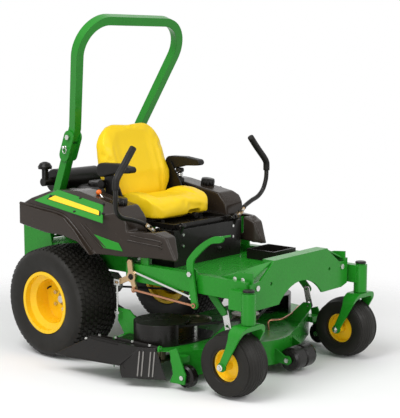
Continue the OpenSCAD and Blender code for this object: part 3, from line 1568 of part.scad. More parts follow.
module chassis_bolts() {
  color("silver") place() {
    both_sides() {
      // Roll bar hinge bolts
      across(bar_hinge_x, bar_hinge_z, bar_s - bar_half - ear_t - 6, bar_s + bar_half + ear_t + 6,
        bar_bolt_r);
      hex_head(bar_hinge_x, bar_s + bar_half + ear_t + 6, bar_hinge_z, 16, 8, [-90, 0, 0]);
      hex_head(bar_hinge_x, bar_s - bar_half - ear_t - 6, bar_hinge_z, 16, 8, [90, 0, 0]);
      // Seat hinge pins
      across(seat_hinge_x, seat_hinge_z, seat_box_half - 84, seat_box_half - 44, 6);
      // Lever pivot pins
      across(lever_x, lever_z, seat_box_half - plate_t - 8, seat_box_half + 30, lever_pin_r);
      across(lever_x, lever_z, seat_box_half + 30, seat_box_half + 34, lever_pin_r + 4);
      for (b = [[184, 590], [70, 640], [70, 700]])
        hex_head(seat_box_x, seat_box_half - b[0], b[1], 8, 6, [0, 90, 0]);
    }
    // Throttle pin
    across(throttle[0], throttle[2], -throttle[1] - 17, -throttle[1] + 17, throttle_pin_r);
    // Pedal pivot
    across(pedal_at[0], pedal_at[1], -pedal_s - pedal_t - 3, -rail_out_s, lever_pin_r);
    hex_head(pedal_at[0], -pedal_s - pedal_t - 3, pedal_at[1], 14, 8, [90, 0, 0]);
    // Bolts of the front beam
    for (b = [beam_bolts[0], beam_bolts[3]])
      along(b[0], b[1], rail_front_x + beam_t, rail_front_x + beam_t + 8, 14);
  }
}

frame_rails();
front_beam();
floor_pan();
rear_guard();
rops_masts();
rops_hoop();
engine_block();
engine_shroud();
air_cleaner();
muffler();
hydro_units();
pto_clutch();
fender_right();
fender_left();
fender_panels();
front_panel();
chassis_bolts();
rear_tyre_right();
rear_rim_right();
rear_hub_right();
rear_tyre_left();
rear_rim_left();
rear_hub_left();
caster_fork_right();
caster_tyre_right();
caster_rim_right();
caster_fork_left();
caster_tyre_left();
caster_rim_left();
seat_platform();
seat_pan();
seat_cushion();
seat_back();
armrest_right();
armrest_left();
lever_base_right();
lever_right();
grip_right();
lever_base_left();
lever_left();
grip_left();
throttle_lever();
lift_pedal();
lift_rod();
rear_lift_shaft();
sync_rod();
front_lift_shaft();
front_hangers();
deck_shell();
deck_hardware();
spindle_housings();
spindle_right();
spindle_centre();
spindle_left();
deck_belt();
deck_idler();
chute();
gauge_wheel_right();
gauge_wheel_left();
front_roller();
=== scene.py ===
import json
import math

import bmesh
import bpy
from mathutils import Matrix, Vector
from mathutils.bvhtree import BVHTree

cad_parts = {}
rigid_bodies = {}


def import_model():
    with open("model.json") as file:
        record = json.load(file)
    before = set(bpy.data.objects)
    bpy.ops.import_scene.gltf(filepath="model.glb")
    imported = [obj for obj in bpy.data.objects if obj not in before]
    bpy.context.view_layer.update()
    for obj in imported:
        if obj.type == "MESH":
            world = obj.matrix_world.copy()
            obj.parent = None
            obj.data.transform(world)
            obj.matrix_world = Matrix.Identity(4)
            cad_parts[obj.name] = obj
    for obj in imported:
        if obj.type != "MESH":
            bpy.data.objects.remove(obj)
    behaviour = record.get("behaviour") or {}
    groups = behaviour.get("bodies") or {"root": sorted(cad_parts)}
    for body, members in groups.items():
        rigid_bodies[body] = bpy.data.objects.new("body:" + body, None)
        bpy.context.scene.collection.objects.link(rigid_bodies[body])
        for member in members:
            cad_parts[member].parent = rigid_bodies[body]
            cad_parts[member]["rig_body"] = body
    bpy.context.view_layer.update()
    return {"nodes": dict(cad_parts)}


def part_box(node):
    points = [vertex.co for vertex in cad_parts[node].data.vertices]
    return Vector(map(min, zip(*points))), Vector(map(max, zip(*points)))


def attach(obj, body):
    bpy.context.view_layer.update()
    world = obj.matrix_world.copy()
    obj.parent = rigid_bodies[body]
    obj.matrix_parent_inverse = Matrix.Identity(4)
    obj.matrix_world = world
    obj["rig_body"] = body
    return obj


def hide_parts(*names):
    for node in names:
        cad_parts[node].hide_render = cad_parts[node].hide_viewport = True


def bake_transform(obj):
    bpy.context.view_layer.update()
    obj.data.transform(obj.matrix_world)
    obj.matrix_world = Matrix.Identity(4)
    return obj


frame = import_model()
nodes = frame["nodes"]
scene = bpy.context.scene
SIDES = {"right": -1, "left": 1}
UP = Vector((0, 0, 1))
DOWN = Vector((0, 0, -1))
MM = 0.001


# Places. The datum is the ground under the middle of the rear axle: x forward, y to the left.

def middle(node):
    low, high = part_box(node)
    return (low + high) / 2


axle = middle("rear_tyre_right")
midline = (axle.y + middle("rear_tyre_left").y) / 2


def spot(x, y, z):
    """A place in millimetres of the datum."""
    return Vector((axle.x + x * MM, midline + y * MM, z * MM))


# Materials

# Sockets of the Mix node where it mixes colours
MIX_FACTOR = 0
MIX_A = 6
MIX_B = 7
MIX_RESULT = 2
SMEAR = 0.18
SMEAR_SCALE = 3
BUMP_DEPTH = 0.0004
CELL_STRENGTH = 0.18
EDGE_SAMPLES = 6


def link(tree, a, b):
    tree.links.new(a, b)


def texture(tree, kind, scale, detail=2.0):
    node = tree.nodes.new(kind)
    node.inputs["Scale"].default_value = scale
    if "Detail" in node.inputs:
        node.inputs["Detail"].default_value = detail
    coords = tree.nodes.get("Texture Coordinate")
    if coords is None:
        coords = tree.nodes.new("ShaderNodeTexCoord")
    link(tree, coords.outputs["Object"], node.inputs["Vector"])
    return node


def shade(colour, factor):
    return tuple(min(1.0, c * factor) for c in colour) + (1.0,)


def vary_colour(tree, shader, colour, spread, scale):
    """Slow change between a darker and a lighter tone of the colour."""
    patches = texture(tree, "ShaderNodeTexNoise", scale, 3.0)
    mix = tree.nodes.new("ShaderNodeMix")
    mix.data_type = "RGBA"
    mix.inputs[MIX_A].default_value = shade(colour, 1 - spread)
    mix.inputs[MIX_B].default_value = shade(colour, 1 + spread)
    link(tree, patches.outputs["Fac"], mix.inputs[MIX_FACTOR])
    link(tree, mix.outputs[MIX_RESULT], shader.inputs["Base Color"])


def vary_roughness(tree, shader, rough, scale):
    """Smears that are rougher or smoother than the rest."""
    smears = texture(tree, "ShaderNodeTexNoise", scale, 4.0)
    span = tree.nodes.new("ShaderNodeMapRange")
    span.inputs["From Min"].default_value = 0.3
    span.inputs["From Max"].default_value = 0.7
    span.inputs["To Min"].default_value = rough * (1 - SMEAR)
    span.inputs["To Max"].default_value = rough * (1 + SMEAR)
    link(tree, smears.outputs["Fac"], span.inputs["Value"])
    link(tree, span.outputs["Result"], shader.inputs["Roughness"])


def add_bump(tree, shader, height, strength):
    """Adds a bump on top of any bump that the shader has already."""
    bump = tree.nodes.new("ShaderNodeBump")
    bump.inputs["Strength"].default_value = strength
    bump.inputs["Distance"].default_value = BUMP_DEPTH
    link(tree, height, bump.inputs["Height"])
    if shader.inputs["Normal"].is_linked:
        link(tree, shader.inputs["Normal"].links[0].from_socket, bump.inputs["Normal"])
    link(tree, bump.outputs["Normal"], shader.inputs["Normal"])


def finish(name, colour, rough, spread=0.1, patch=7.0, grain=400.0, strength=0.1, metallic=0.0, coat=0.0,
           cells=None, gloss=0.4, edge=0.0):
    """A surface with slow colour change, smears of roughness and a fine grain.

    patch and grain are texture scales and strength is the grain's. cells adds a leather-like net,
    and edge is the radius that sharp edges seem to have.
    """
    material = bpy.data.materials.new(name)
    material.use_nodes = True
    tree = material.node_tree
    shader = tree.nodes["Principled BSDF"]
    shader.inputs["Metallic"].default_value = metallic
    shader.inputs["Coat Weight"].default_value = coat
    shader.inputs["Specular IOR Level"].default_value = gloss
    vary_colour(tree, shader, colour, spread, patch)
    vary_roughness(tree, shader, rough, patch * SMEAR_SCALE)
    if edge:
        rounding = tree.nodes.new("ShaderNodeBevel")
        rounding.samples = EDGE_SAMPLES
        rounding.inputs["Radius"].default_value = edge
        link(tree, rounding.outputs["Normal"], shader.inputs["Normal"])
    add_bump(tree, shader, texture(tree, "ShaderNodeTexNoise", grain).outputs["Fac"], strength)
    if cells:
        net = texture(tree, "ShaderNodeTexVoronoi", cells)
        add_bump(tree, shader, net.outputs["Distance"], CELL_STRENGTH)
    return material


GREEN = (0.014, 0.225, 0.014)
PANEL_GREEN = (0.014, 0.250, 0.014)
POD_BROWN = (0.026, 0.0185, 0.0135)
BLACK = (0.007, 0.006, 0.005)
RIM_YELLOW = (0.90, 0.55, 0.010)
SEAT_YELLOW = (0.90, 0.61, 0.010)
EDGE = 0.004
FINISHES = {
    "deck_green": finish("deck_paint", GREEN, 0.30, coat=0.10, strength=0.03, gloss=0.22, edge=EDGE),
    "frame_green": finish("frame_paint", GREEN, 0.28, coat=0.12, strength=0.03, gloss=0.22, edge=EDGE),
    "panel_green": finish("panel_paint", PANEL_GREEN, 0.24, coat=0.2, strength=0.01, gloss=0.22, edge=EDGE),
    "pod_brown": finish("pod_plastic", POD_BROWN, 0.24, grain=900.0, strength=0.08, cells=700.0, gloss=0.28),
    "black_plastic": finish("black_plastic", BLACK, 0.32, grain=900.0, strength=0.1, gloss=0.22, edge=EDGE),
    "rim_yellow": finish("rim_paint", RIM_YELLOW, 0.28, spread=0.05, coat=0.15, strength=0.03, gloss=0.25,
                         edge=EDGE),
    "seat_yellow": finish("seat_vinyl", SEAT_YELLOW, 0.42, spread=0.04, grain=700.0, cells=520.0, gloss=0.25),
    "tyre": finish("tyre_rubber", (0.010, 0.009, 0.007), 0.5, grain=600.0, strength=0.25, gloss=0.25),
    "soft_wheel": finish("wheel_rubber", (0.008, 0.007, 0.006), 0.28, grain=500.0, strength=0.08, gloss=0.3),
    "grip_rubber": finish("grip_rubber", (0.009, 0.008, 0.007), 0.5, grain=800.0, strength=0.35, cells=900.0,
                          gloss=0.22),
    "black_steel": finish("black_steel", BLACK, 0.3, coat=0.08, strength=0.05, gloss=0.22, edge=EDGE),
    "steel": finish("bright_steel", (0.62, 0.62, 0.60), 0.26, metallic=1.0, grain=260.0, strength=0.06),
    "plated": finish("zinc_plate", (0.52, 0.36, 0.20), 0.32, spread=0.25, patch=30.0, metallic=0.9,
                     strength=0.06),
    "cast": finish("cast_iron", (0.040, 0.036, 0.032), 0.45, metallic=0.4, grain=350.0, strength=0.25,
                   gloss=0.3),
    "alloy": finish("cast_alloy", (0.30, 0.30, 0.29), 0.4, metallic=0.9, grain=300.0, strength=0.2),
    "orange_knob": finish("orange_plastic", (0.85, 0.16, 0.010), 0.3, spread=0.04),
    "belt": finish("belt_rubber", (0.012, 0.011, 0.010), 0.6, grain=500.0, strength=0.3, gloss=0.25),
}
STRIPE_YELLOW = finish("stripe_film", (0.90, 0.64, 0.015), 0.26, spread=0.03, strength=0.02)
COPPER_ROD = finish("copper_rod", (0.46, 0.22, 0.13), 0.3, spread=0.15, patch=20.0, metallic=0.9,
                    strength=0.05)
OLIVE_PULLEY = finish("olive_pulley", (0.13, 0.12, 0.07), 0.3, spread=0.2, patch=14.0, metallic=0.8,
                      strength=0.08)
# Light grey for the crests of the chute's ribs: a painted highlight on black plastic
RIB_HIGHLIGHT_PLASTIC = finish("rib_highlight_plastic", (0.17, 0.16, 0.15), 0.35, spread=0.15, patch=25.0, strength=0.05)

# Nodes that look different from their slot
NODE_FINISH = {
    "lift_rod": COPPER_ROD,
    "deck_idler": OLIVE_PULLEY,
    "spindle_housings": FINISHES["black_steel"],
}
for spindle in ("right", "centre", "left"):
    NODE_FINISH["spindle_" + spindle] = OLIVE_PULLEY


def slot_name(holder):
    """The record's name of a material slot."""
    return holder.material.name.split(".")[0]


node_slots = {name: slot_name(cad.material_slots[0]) for name, cad in nodes.items()}
for name, cad in nodes.items():
    for holder in cad.material_slots:
        holder.material = NODE_FINISH.get(name, FINISHES[slot_name(holder)])


# Mesh helpers

WELD = 2e-5
SHARP = 35


def paint(mesh, material):
    mesh.materials.clear()
    mesh.materials.append(material)


def add_object(name, mesh, material):
    paint(mesh, material)
    obj = bpy.data.objects.new(name, mesh)
    scene.collection.objects.link(obj)
    return obj


def dress(obj, body, slot, *stands_for):
    """Puts a piece on its body and hides the nodes that it stands for. The slot is not used."""
    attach(obj, body)
    if stands_for:
        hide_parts(*stands_for)


def body_of(node):
    return nodes[node]["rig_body"]


def from_bmesh(name, bm, smooth=True):
    mesh = bpy.data.meshes.new(name)
    bm.to_mesh(mesh)
    bm.free()
    mesh.polygons.foreach_set("use_smooth", [smooth] * len(mesh.polygons))
    return mesh


def copy_of(node):
    """The node's own mesh as a welded bmesh."""
    bm = bmesh.new()
    bm.from_mesh(nodes[node].data)
    bmesh.ops.remove_doubles(bm, verts=bm.verts, dist=WELD)
    return bm


def islands(bm):
    """Separate shells of a bmesh, as lists of faces, largest first."""
    todo = set(bm.faces)
    found = []
    while todo:
        stack = [todo.pop()]
        shell = []
        while stack:
            face = stack.pop()
            shell.append(face)
            for edge in face.edges:
                for other in edge.link_faces:
                    if other in todo:
                        todo.remove(other)
                        stack.append(other)
        found.append(shell)
    return sorted(found, key=lambda faces: -sum(f.calc_area() for f in faces))


def split_off(bm, faces):
    """Takes the faces out of a bmesh and into a new one."""
    bm.faces.index_update()
    chosen = {f.index for f in faces}
    other = bm.copy()
    other.faces.index_update()
    bmesh.ops.delete(other, geom=[f for f in other.faces if f.index not in chosen], context="FACES")
    bmesh.ops.delete(bm, geom=faces, context="FACES")
    return other


def apply_modifiers(obj):
    """Makes the modified shape the object's own mesh, with the material that it has."""
    material = obj.data.materials[0]
    graph = bpy.context.evaluated_depsgraph_get()
    graph.update()
    mesh = bpy.data.meshes.new_from_object(obj.evaluated_get(graph))
    obj.modifiers.clear()
    obj.data = mesh
    paint(mesh, material)
    return obj


def relax(obj, passes):
    """Evens out the surface, as a modifier."""
    modifier = obj.modifiers.new("Smooth", "SMOOTH")
    modifier.factor = 0.5
    modifier.iterations = passes


def soften(name, bm, slot, voxel, passes):
    """An object with the shape of the bmesh, and rounded edges."""
    obj = add_object(name, from_bmesh(name, bm), FINISHES[slot])
    modifier = obj.modifiers.new("Remesh", "REMESH")
    modifier.mode = "VOXEL"
    modifier.voxel_size = voxel
    modifier.use_smooth_shade = True
    relax(obj, passes)
    return apply_modifiers(obj)


def subdivide(obj):
    modifier = obj.modifiers.new("Subdivision", "SUBSURF")
    modifier.levels = 1
    modifier.render_levels = 1


def step(value, low, high):
    """Smooth rise from 0 at low to 1 at high."""
    t = min(1.0, max(0.0, (value - low) / (high - low)))
    return t * t * (3 - 2 * t)


def sculpt(obj, move):
    """Moves each vertex by what move says of its place and normal."""
    normals = [v.normal.copy() for v in obj.data.vertices]
    for v, normal in zip(obj.data.vertices, normals):
        v.co += move(v.co, normal)
    obj.data.update()


def shade_smooth(obj):
    obj.data.polygons.foreach_set("use_smooth", [True] * len(obj.data.polygons))


def smooth_by_angle(obj, degrees=SHARP):
    """Smooth shading, with edges sharper than the angle kept."""
    shade_smooth(obj)
    obj.data.set_sharp_from_angle(angle=math.radians(degrees))


# Tyres

# Sidewall from the bead out to the shoulder, as shares of the half width and of the tyre's height
SIDEWALL = ((0.87, 0.0), (0.89, 0.10), (0.93, 0.13), (0.95, 0.20), (0.985, 0.32), (1.0, 0.46), (1.0, 0.58),
            (0.99, 0.70), (0.965, 0.80))
RIB_STEPS = 120
TREAD_SHARP = 32


def turned_grid(name, centre, rings, material):
    """A closed ring of quads about an axle along Y. Each ring is a list of (across, radius, angle)."""
    count = len(rings[0])
    verts = []
    for ring in rings:
        for across, radius, angle in ring:
            verts.append((centre.x + radius * math.cos(angle), centre.y + across,
                          centre.z + radius * math.sin(angle)))
    faces = []
    for i in range(len(rings)):
        k = (i + 1) % len(rings)
        for j in range(count):
            n = (j + 1) % count
            faces.append((i * count + j, k * count + j, k * count + n, i * count + n))
    mesh = bpy.data.meshes.new(name)
    mesh.from_pydata(verts, [], faces)
    mesh.update()
    return add_object(name, mesh, material)


def block_marks(pitch, gap, wall):
    """Where the foot and the top of a block's two walls lie in its pitch, and if that place is raised."""
    foot = gap / 2
    top = foot + wall
    return (foot, False), (top, True), (pitch - top, True), (pitch - foot, False)


def tread_profile(rows, half, outer, crown, depth, gap, wall):
    """(across, radius, raised, row) over the tread, four points to a row of blocks or ribs."""
    pitch = 2 * half / rows
    points = []
    for row in range(rows):
        for offset, raised in block_marks(pitch, gap, wall):
            across = -half + row * pitch + offset
            radius = outer - crown * (across / half) ** 2
            points.append((across, radius - (0 if raised else depth), raised, row))
    return points


def make_tyre(node, rows, blocks, depth, gap, wall, tread, crown, slant):
    """A tyre with rows of blocks, or with plain ribs where blocks is 0."""
    low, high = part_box(node)
    centre = (low + high) / 2
    half = (high.y - low.y) / 2
    outer = (high.z - low.z) / 2
    bead = min(math.hypot(v.co.x - centre.x, v.co.z - centre.z) for v in nodes[node].data.vertices)
    pitch = 2 * math.pi / (blocks or RIB_STEPS)
    if blocks:
        marks = block_marks(1, gap / (pitch * outer), wall / (pitch * outer))
        turns = [(block + mark, raised) for block in range(blocks) for mark, raised in marks]
    else:
        turns = [(i, True) for i in range(RIB_STEPS)]

    def sidewall(hand):
        outline = [(hand * w * half, bead + h * (outer - bead)) for w, h in SIDEWALL]
        return [[(across, radius, t * pitch) for t, _ in turns] for across, radius in outline]

    rings = sidewall(-1)
    for across, radius, raised, row in tread_profile(rows, tread * half, outer, crown, depth, gap, wall):
        shift = (0.5 * (row % 2) if blocks else 0.0) + slant * abs(across) / half
        rings.append([(across, radius - (depth if raised and not up else 0), (t + shift) * pitch)
                      for t, up in turns])
    rings += sidewall(1)[::-1]
    obj = turned_grid(node + "_tread", centre, rings, FINISHES["tyre"])
    smooth_by_angle(obj, TREAD_SHARP)
    dress(obj, body_of(node), "tyre", node)


for side in SIDES:
    make_tyre("rear_tyre_" + side, rows=9, blocks=58, depth=0.007, gap=0.007, wall=0.002, tread=0.90,
              crown=0.010, slant=0.9)
    make_tyre("caster_tyre_" + side, rows=8, blocks=0, depth=0.0025, gap=0.004, wall=0.002, tread=0.80,
              crown=0.020, slant=0.0)


# Side pods: moulded shells with rounded edges, and their fuel caps

POD_VOXEL = 0.005
POD_SMOOTH = 12


def make_pod(side):
    node = "fender_" + side
    bm = copy_of(node)
    caps = split_off(bm, [f for shell in islands(bm)[1:] for f in shell])
    pod = soften("pod_" + side, bm, "pod_brown", POD_VOXEL, POD_SMOOTH)
    dress(pod, "chassis", "pod_brown", node)
    name = "fuel_cap_" + side
    cap = add_object(name, from_bmesh(name, caps), FINISHES["black_plastic"])
    smooth_by_angle(cap)
    dress(cap, "chassis", "black_plastic")


for side in SIDES:
    make_pod(side)


# Seat: vinyl cushion and back, swollen by a short cloth run and then dished and creased

CUSHION_VOXEL = 0.006
CUSHION_SMOOTH = 12
INSET = 0.005
SWELL = 0.012
PRESSURE = 4.0
STIFFNESS = 60.0
FRAMES = 20
RELAX = 16
DISH = 0.030
CREASE = 0.006


def inflate(obj):
    """Swells a pad. No point moves further than SWELL, and the surface is evened out afterwards."""
    rest = [v.co.copy() for v in obj.data.vertices]
    cloth = obj.modifiers.new("Cloth", "CLOTH")
    cloth.settings.use_pressure = True
    cloth.settings.uniform_pressure_force = PRESSURE
    cloth.settings.tension_stiffness = STIFFNESS
    cloth.settings.compression_stiffness = STIFFNESS
    cloth.settings.bending_stiffness = STIFFNESS
    cloth.settings.effector_weights.gravity = 0.0
    for count in range(1, FRAMES + 1):
        scene.frame_set(count)
    apply_modifiers(obj)
    scene.frame_set(1)
    for v, start in zip(obj.data.vertices, rest):
        move = v.co - start
        if move.length > SWELL:
            v.co = start + move.normalized() * SWELL
    relax(obj, RELAX)
    apply_modifiers(obj)


def make_pad(node, shape):
    """A pad from a slightly smaller copy of the node, swollen and then shaped."""
    slot = node_slots[node]
    pad = soften(node + "_vinyl", copy_of(node), slot, CUSHION_VOXEL, CUSHION_SMOOTH)
    sculpt(pad, lambda place, normal: -INSET * normal)
    inflate(pad)
    sculpt(pad, shape)
    shade_smooth(pad)
    subdivide(pad)
    dress(pad, body_of(node), slot, node)


pad_boxes = {node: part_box(node) for node in ("seat_cushion", "seat_back")}


def shares(node, place):
    """Where a place lies on a pad, as shares: out from the midline, along x and up z."""
    low, high = pad_boxes[node]
    out = abs(place.y - midline) / ((high.y - low.y) / 2)
    return out, (place.x - low.x) / (high.x - low.x), (place.z - low.z) / (high.z - low.z)


def groove(value, centre, width):
    """A soft groove: 1 at its centre, and nothing further out."""
    return math.exp(-((value - centre) / width) ** 2)


def cushion_shape(place, normal):
    """A dished middle between side bolsters, with a soft crease where they meet."""
    out, along, up = shares("seat_cushion", place)
    hollow = (1 - step(out, 0.42, 0.72)) * step(along, 0.02, 0.35) * (1 - step(along, 0.45, 0.9))
    crease = groove(out, 0.60, 0.045) * (1 - step(along, 0.6, 0.95)) * step(normal.z, 0.2, 0.7)
    return DOWN * (DISH * hollow * step(up, 0, 1) + CREASE * crease)


def back_shape(place, normal):
    """A hollow down the middle of the front, and a crease beside each bolster."""
    out, _, up = shares("seat_back", place)
    hollow = (1 - step(out, 0.4, 0.8)) * step(up, 0.02, 0.3) * (1 - step(up, 0.7, 1.0))
    crease = groove(out, 0.68, 0.07) * (1 - step(up, 0.6, 0.9))
    front = step(normal.x, 0.1, 0.6)
    return Vector((-front * (0.5 * DISH * hollow + 0.6 * CREASE * crease), 0, 0))


make_pad("seat_cushion", cushion_shape)
make_pad("seat_back", back_shape)


# Armrests: softer edges all round

ARMREST_VOXEL = 0.004
ARMREST_SMOOTH = 10


def make_armrest(side):
    node = "armrest_" + side
    slot = node_slots[node]
    pad = soften("armrest_pad_" + side, copy_of(node), slot, ARMREST_VOXEL, ARMREST_SMOOTH)
    subdivide(pad)
    dress(pad, body_of(node), slot, node)


for side in SIDES:
    make_armrest(side)


# Drive belt: a copy of the belt node with its long edges split

BELT_EDGE = 0.04
BELT_SPLITS = 6


def make_belt():
    """The belt, with edges short enough to bend between the pulleys' rims."""
    bm = copy_of("deck_belt")
    for _ in range(BELT_SPLITS):
        edges = [e for e in bm.edges if e.calc_length() > BELT_EDGE]
        if not edges:
            break
        bmesh.ops.subdivide_edges(bm, edges=edges, cuts=1)
    belt = add_object("drive_belt", from_bmesh("drive_belt", bm, False), FINISHES["belt"])
    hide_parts("deck_belt")
    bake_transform(belt)


make_belt()


# Small parts, many of them seated on the CAD surface that a ray meets.

LEAD = 0.3
DOME = ((0.0, 0.45), (0.72, 0.3), (1.0, 0.0))
search_trees = {}


def surface(node):
    """Search tree over the faces of a CAD node."""
    if node not in search_trees:
        bm = copy_of(node)
        search_trees[node] = BVHTree.FromBMesh(bm)
        bm.free()
    return search_trees[node]


def meet(node, place, toward):
    """Where a ray that passes through the place first meets the node, coming from outside."""
    toward = Vector(toward).normalized()
    point = surface(node).ray_cast(place - toward * LEAD, toward)[0]
    return point or surface(node).find_nearest(place)[0]


def angles(sides, radius):
    """Angles of the points on a ring, or a single one where the radius is 0."""
    return [2 * math.pi * k / sides for k in range(sides if radius else 1)]


def bridge(bm, rings, sides):
    """Faces between each ring of points and the next one."""
    for low, high in zip(rings, rings[1:]):
        for k in range(sides):
            n = (k + 1) % sides
            corners = [low[k % len(low)], low[n % len(low)], high[n % len(high)], high[k % len(high)]]
            bm.faces.new(list(dict.fromkeys(corners)))


def add_turned(bm, profile, place, axis, sides=28):
    """Turns a profile of (radius, height) in millimetres about an axis through the place."""
    turn = UP.rotation_difference(Vector(axis)).to_matrix()
    rings = []
    for radius, height in profile:
        points = [Vector((radius * math.cos(a), radius * math.sin(a), height)) for a in angles(sides, radius)]
        rings.append([bm.verts.new(place + turn @ point * MM) for point in points])
    bridge(bm, rings, sides)


def add_bolt(bm, place, axis, size):
    """A washer with a chamfered hexagon head; size is the head's radius in millimetres."""
    flat = 0.22 * size
    top = flat + 0.75 * size
    chamfer = 0.14 * size
    washer = [(0, -1), (1.5 * size, -1), (1.5 * size, 0.7 * flat), (1.35 * size, flat), (0, flat)]
    head = [(0, flat - 0.2), (size, flat - 0.2), (size, top), (0.84 * size, top + chamfer),
            (0, top + chamfer)]
    add_turned(bm, washer, place, axis)
    add_turned(bm, head, place, axis, sides=6)


def smooth_path(points, steps=8):
    """Points on a smooth curve through the given ones."""
    path = []
    for i in range(len(points) - 1):
        a, b, c, d = (points[min(max(i + k, 0), len(points) - 1)] for k in (-1, 0, 1, 2))
        for k in range(steps):
            t = k / steps
            path.append(0.5 * (2 * b + (c - a) * t + (2 * a - 5 * b + 4 * c - d) * t * t
                               + (3 * b - a - 3 * c + d) * t ** 3))
    return path + [points[-1]]


def add_tube(bm, path, radius, sides=12):
    """A round bar along a path, with domed ends; the radius is in millimetres."""
    radius *= MM
    ways = [(path[min(i + 1, len(path) - 1)] - path[max(i - 1, 0)]).normalized() for i in range(len(path))]
    stations = [(path[0] - ways[0] * radius * back, ways[0], share) for share, back in DOME]
    stations += [(point, way, 1.0) for point, way in zip(path[1:-1], ways[1:-1])]
    stations += [(path[-1] + ways[-1] * radius * on, ways[-1], share) for share, on in reversed(DOME)]
    across = ways[0].orthogonal().normalized()
    rings = []
    for point, way, share in stations:
        across = (across - way * across.dot(way)).normalized()
        other = way.cross(across)
        rings.append([bm.verts.new(point + radius * share * (across * math.cos(a) + other * math.sin(a)))
                      for a in angles(sides, share)])
    bridge(bm, rings, sides)


def rounded(corners, radius, steps=4):
    """The outline through the corners, each rounded by about the radius in millimetres."""
    outline = []
    for i, corner in enumerate(corners):
        start = corner + (corners[i - 1] - corner).normalized() * radius * MM
        end = corner + (corners[(i + 1) % len(corners)] - corner).normalized() * radius * MM
        for k in range(steps + 1):
            t = k / steps
            outline.append(start * (1 - t) ** 2 + corner * 2 * t * (1 - t) + end * t * t)
    return outline


def add_slab(bm, outline, normal, low, high):
    """A flat plate between two heights in millimetres over its outline, with a small chamfer on top."""
    centre = sum(outline, Vector()) / len(outline)
    rings = []
    for height, inset in ((low, 0), (high - 0.4, 0), (high, 0.5)):
        rings.append([bm.verts.new(p + normal * height * MM + (centre - p).normalized() * inset * MM)
                      for p in outline])
    bridge(bm, rings, len(outline))
    bm.faces.new(rings[0][::-1])
    bm.faces.new(rings[-1])


def piece(name, bm, material, body, slot, *stands_for):
    """Makes a piece from a bmesh."""
    bmesh.ops.recalc_face_normals(bm, faces=bm.faces)
    obj = add_object(name, from_bmesh(name, bm), material)
    smooth_by_angle(obj)
    dress(obj, body, slot, *stands_for)


def plain_piece(name, bm, body, slot, *stands_for):
    """A piece that looks as its slot does."""
    piece(name, bm, FINISHES[slot], body, slot, *stands_for)


def bolts(name, body, places, size, slot="steel"):
    """One piece of bolts, each given as (place, axis)."""
    bm = bmesh.new()
    for place, axis in places:
        add_bolt(bm, place, axis, size)
    plain_piece(name, bm, body, slot)


# Trim on the green panels of the pods: a bare stripe with a dark border, and screws

PANEL_POINT = (125.5, 580.0, 829.6)
PANEL_NORMAL = (0.1201, 0.5954, 0.7944)
STRIPE = ((-29, 869), (-5, 888), (341, 835), (362, 815))
STRIPE_BORDER = 12
PANEL_SCREWS = ((-30, 884), (165, 885), (198, 823), (375, 825), (330, 867))
SCREW_HEAD = ((0, -1), (8, -1), (8, 1.5), (6.5, 3.2), (3.2, 3.8), (2.6, 2.2), (0, 2.2))


def on_panel(hand, x, z):
    """The place on the panel's plane at x and z."""
    rise = PANEL_NORMAL[0] * (x - PANEL_POINT[0]) + PANEL_NORMAL[2] * (z - PANEL_POINT[2])
    return spot(x, hand * (PANEL_POINT[1] - rise / PANEL_NORMAL[1]), z)


def make_panel_trim(side):
    hand = SIDES[side]
    normal = Vector((PANEL_NORMAL[0], hand * PANEL_NORMAL[1], PANEL_NORMAL[2]))
    corners = [on_panel(hand, x, z) for x, z in STRIPE]
    centre = sum(corners, Vector()) / len(corners)
    wider = [c + (c - centre).normalized() * STRIPE_BORDER * MM for c in corners]
    border = bmesh.new()
    add_slab(border, rounded(wider, 10), normal, -0.5, 0.9)
    plain_piece("stripe_border_" + side, border, "chassis", "black_plastic")
    stripe = bmesh.new()
    add_slab(stripe, rounded(corners, 8), normal, 0.2, 1.8)
    piece("stripe_" + side, stripe, STRIPE_YELLOW, "chassis", "rim_yellow")
    screws = bmesh.new()
    for x, z in PANEL_SCREWS:
        add_turned(screws, SCREW_HEAD, on_panel(hand, x, z), normal, sides=16)
    plain_piece("panel_screws_" + side, screws, "chassis", "black_steel")


# Rolled lip of each pod over the wheel, and the ridges in front of it and along the nose, as (x, z)

FLARE_LIP = ((-222, 838), (-100, 822), (60, 807), (131, 789), (215, 726), (312, 626))
FLARE_RIDGES = (
    ((240, 762), (309, 702), (368, 640)),
    ((270, 760), (331, 704), (388, 646)),
    ((520, 716), (600, 704), (680, 690), (735, 676)),
    ((505, 690), (600, 676), (680, 664), (738, 652)),
)
LIP_RADIUS = 9
RIDGE_RADIUS = 5
BESIDE_POD = 590


def make_flare(side):
    hand = SIDES[side]

    def on_pod(x, z):
        return meet("fender_" + side, spot(x, hand * BESIDE_POD, z), (0, -hand, 0))

    bm = bmesh.new()
    add_tube(bm, smooth_path([on_pod(x, z) for x, z in FLARE_LIP]), LIP_RADIUS)
    for ridge in FLARE_RIDGES:
        add_tube(bm, smooth_path([on_pod(x, z) for x, z in ridge]), RIDGE_RADIUS)
    plain_piece("flare_" + side, bm, "chassis", "pod_brown")


for side in SIDES:
    make_panel_trim(side)
    make_flare(side)


# Levers: the bars and grips at their full thickness, and the plated straps that clamp them

LEVER_X = 564
LEVER_HINGE = (322, 708)
LEVER_BEND = (420, 776)
LEVER_MORE = 0.0022
LEVER_RISE = (0.755, 0.800)
GRIP_MORE = 0.0030
GRIP_RISE = (0.960, 0.975)
LEVER_SHARP = 50
STRAP_ENDS = (32, 112)
STRAP_HALF = 11
STRAP_FOOT = 5
STRAP_THICK = 4
STRAP_BOLTS = (52, 94)


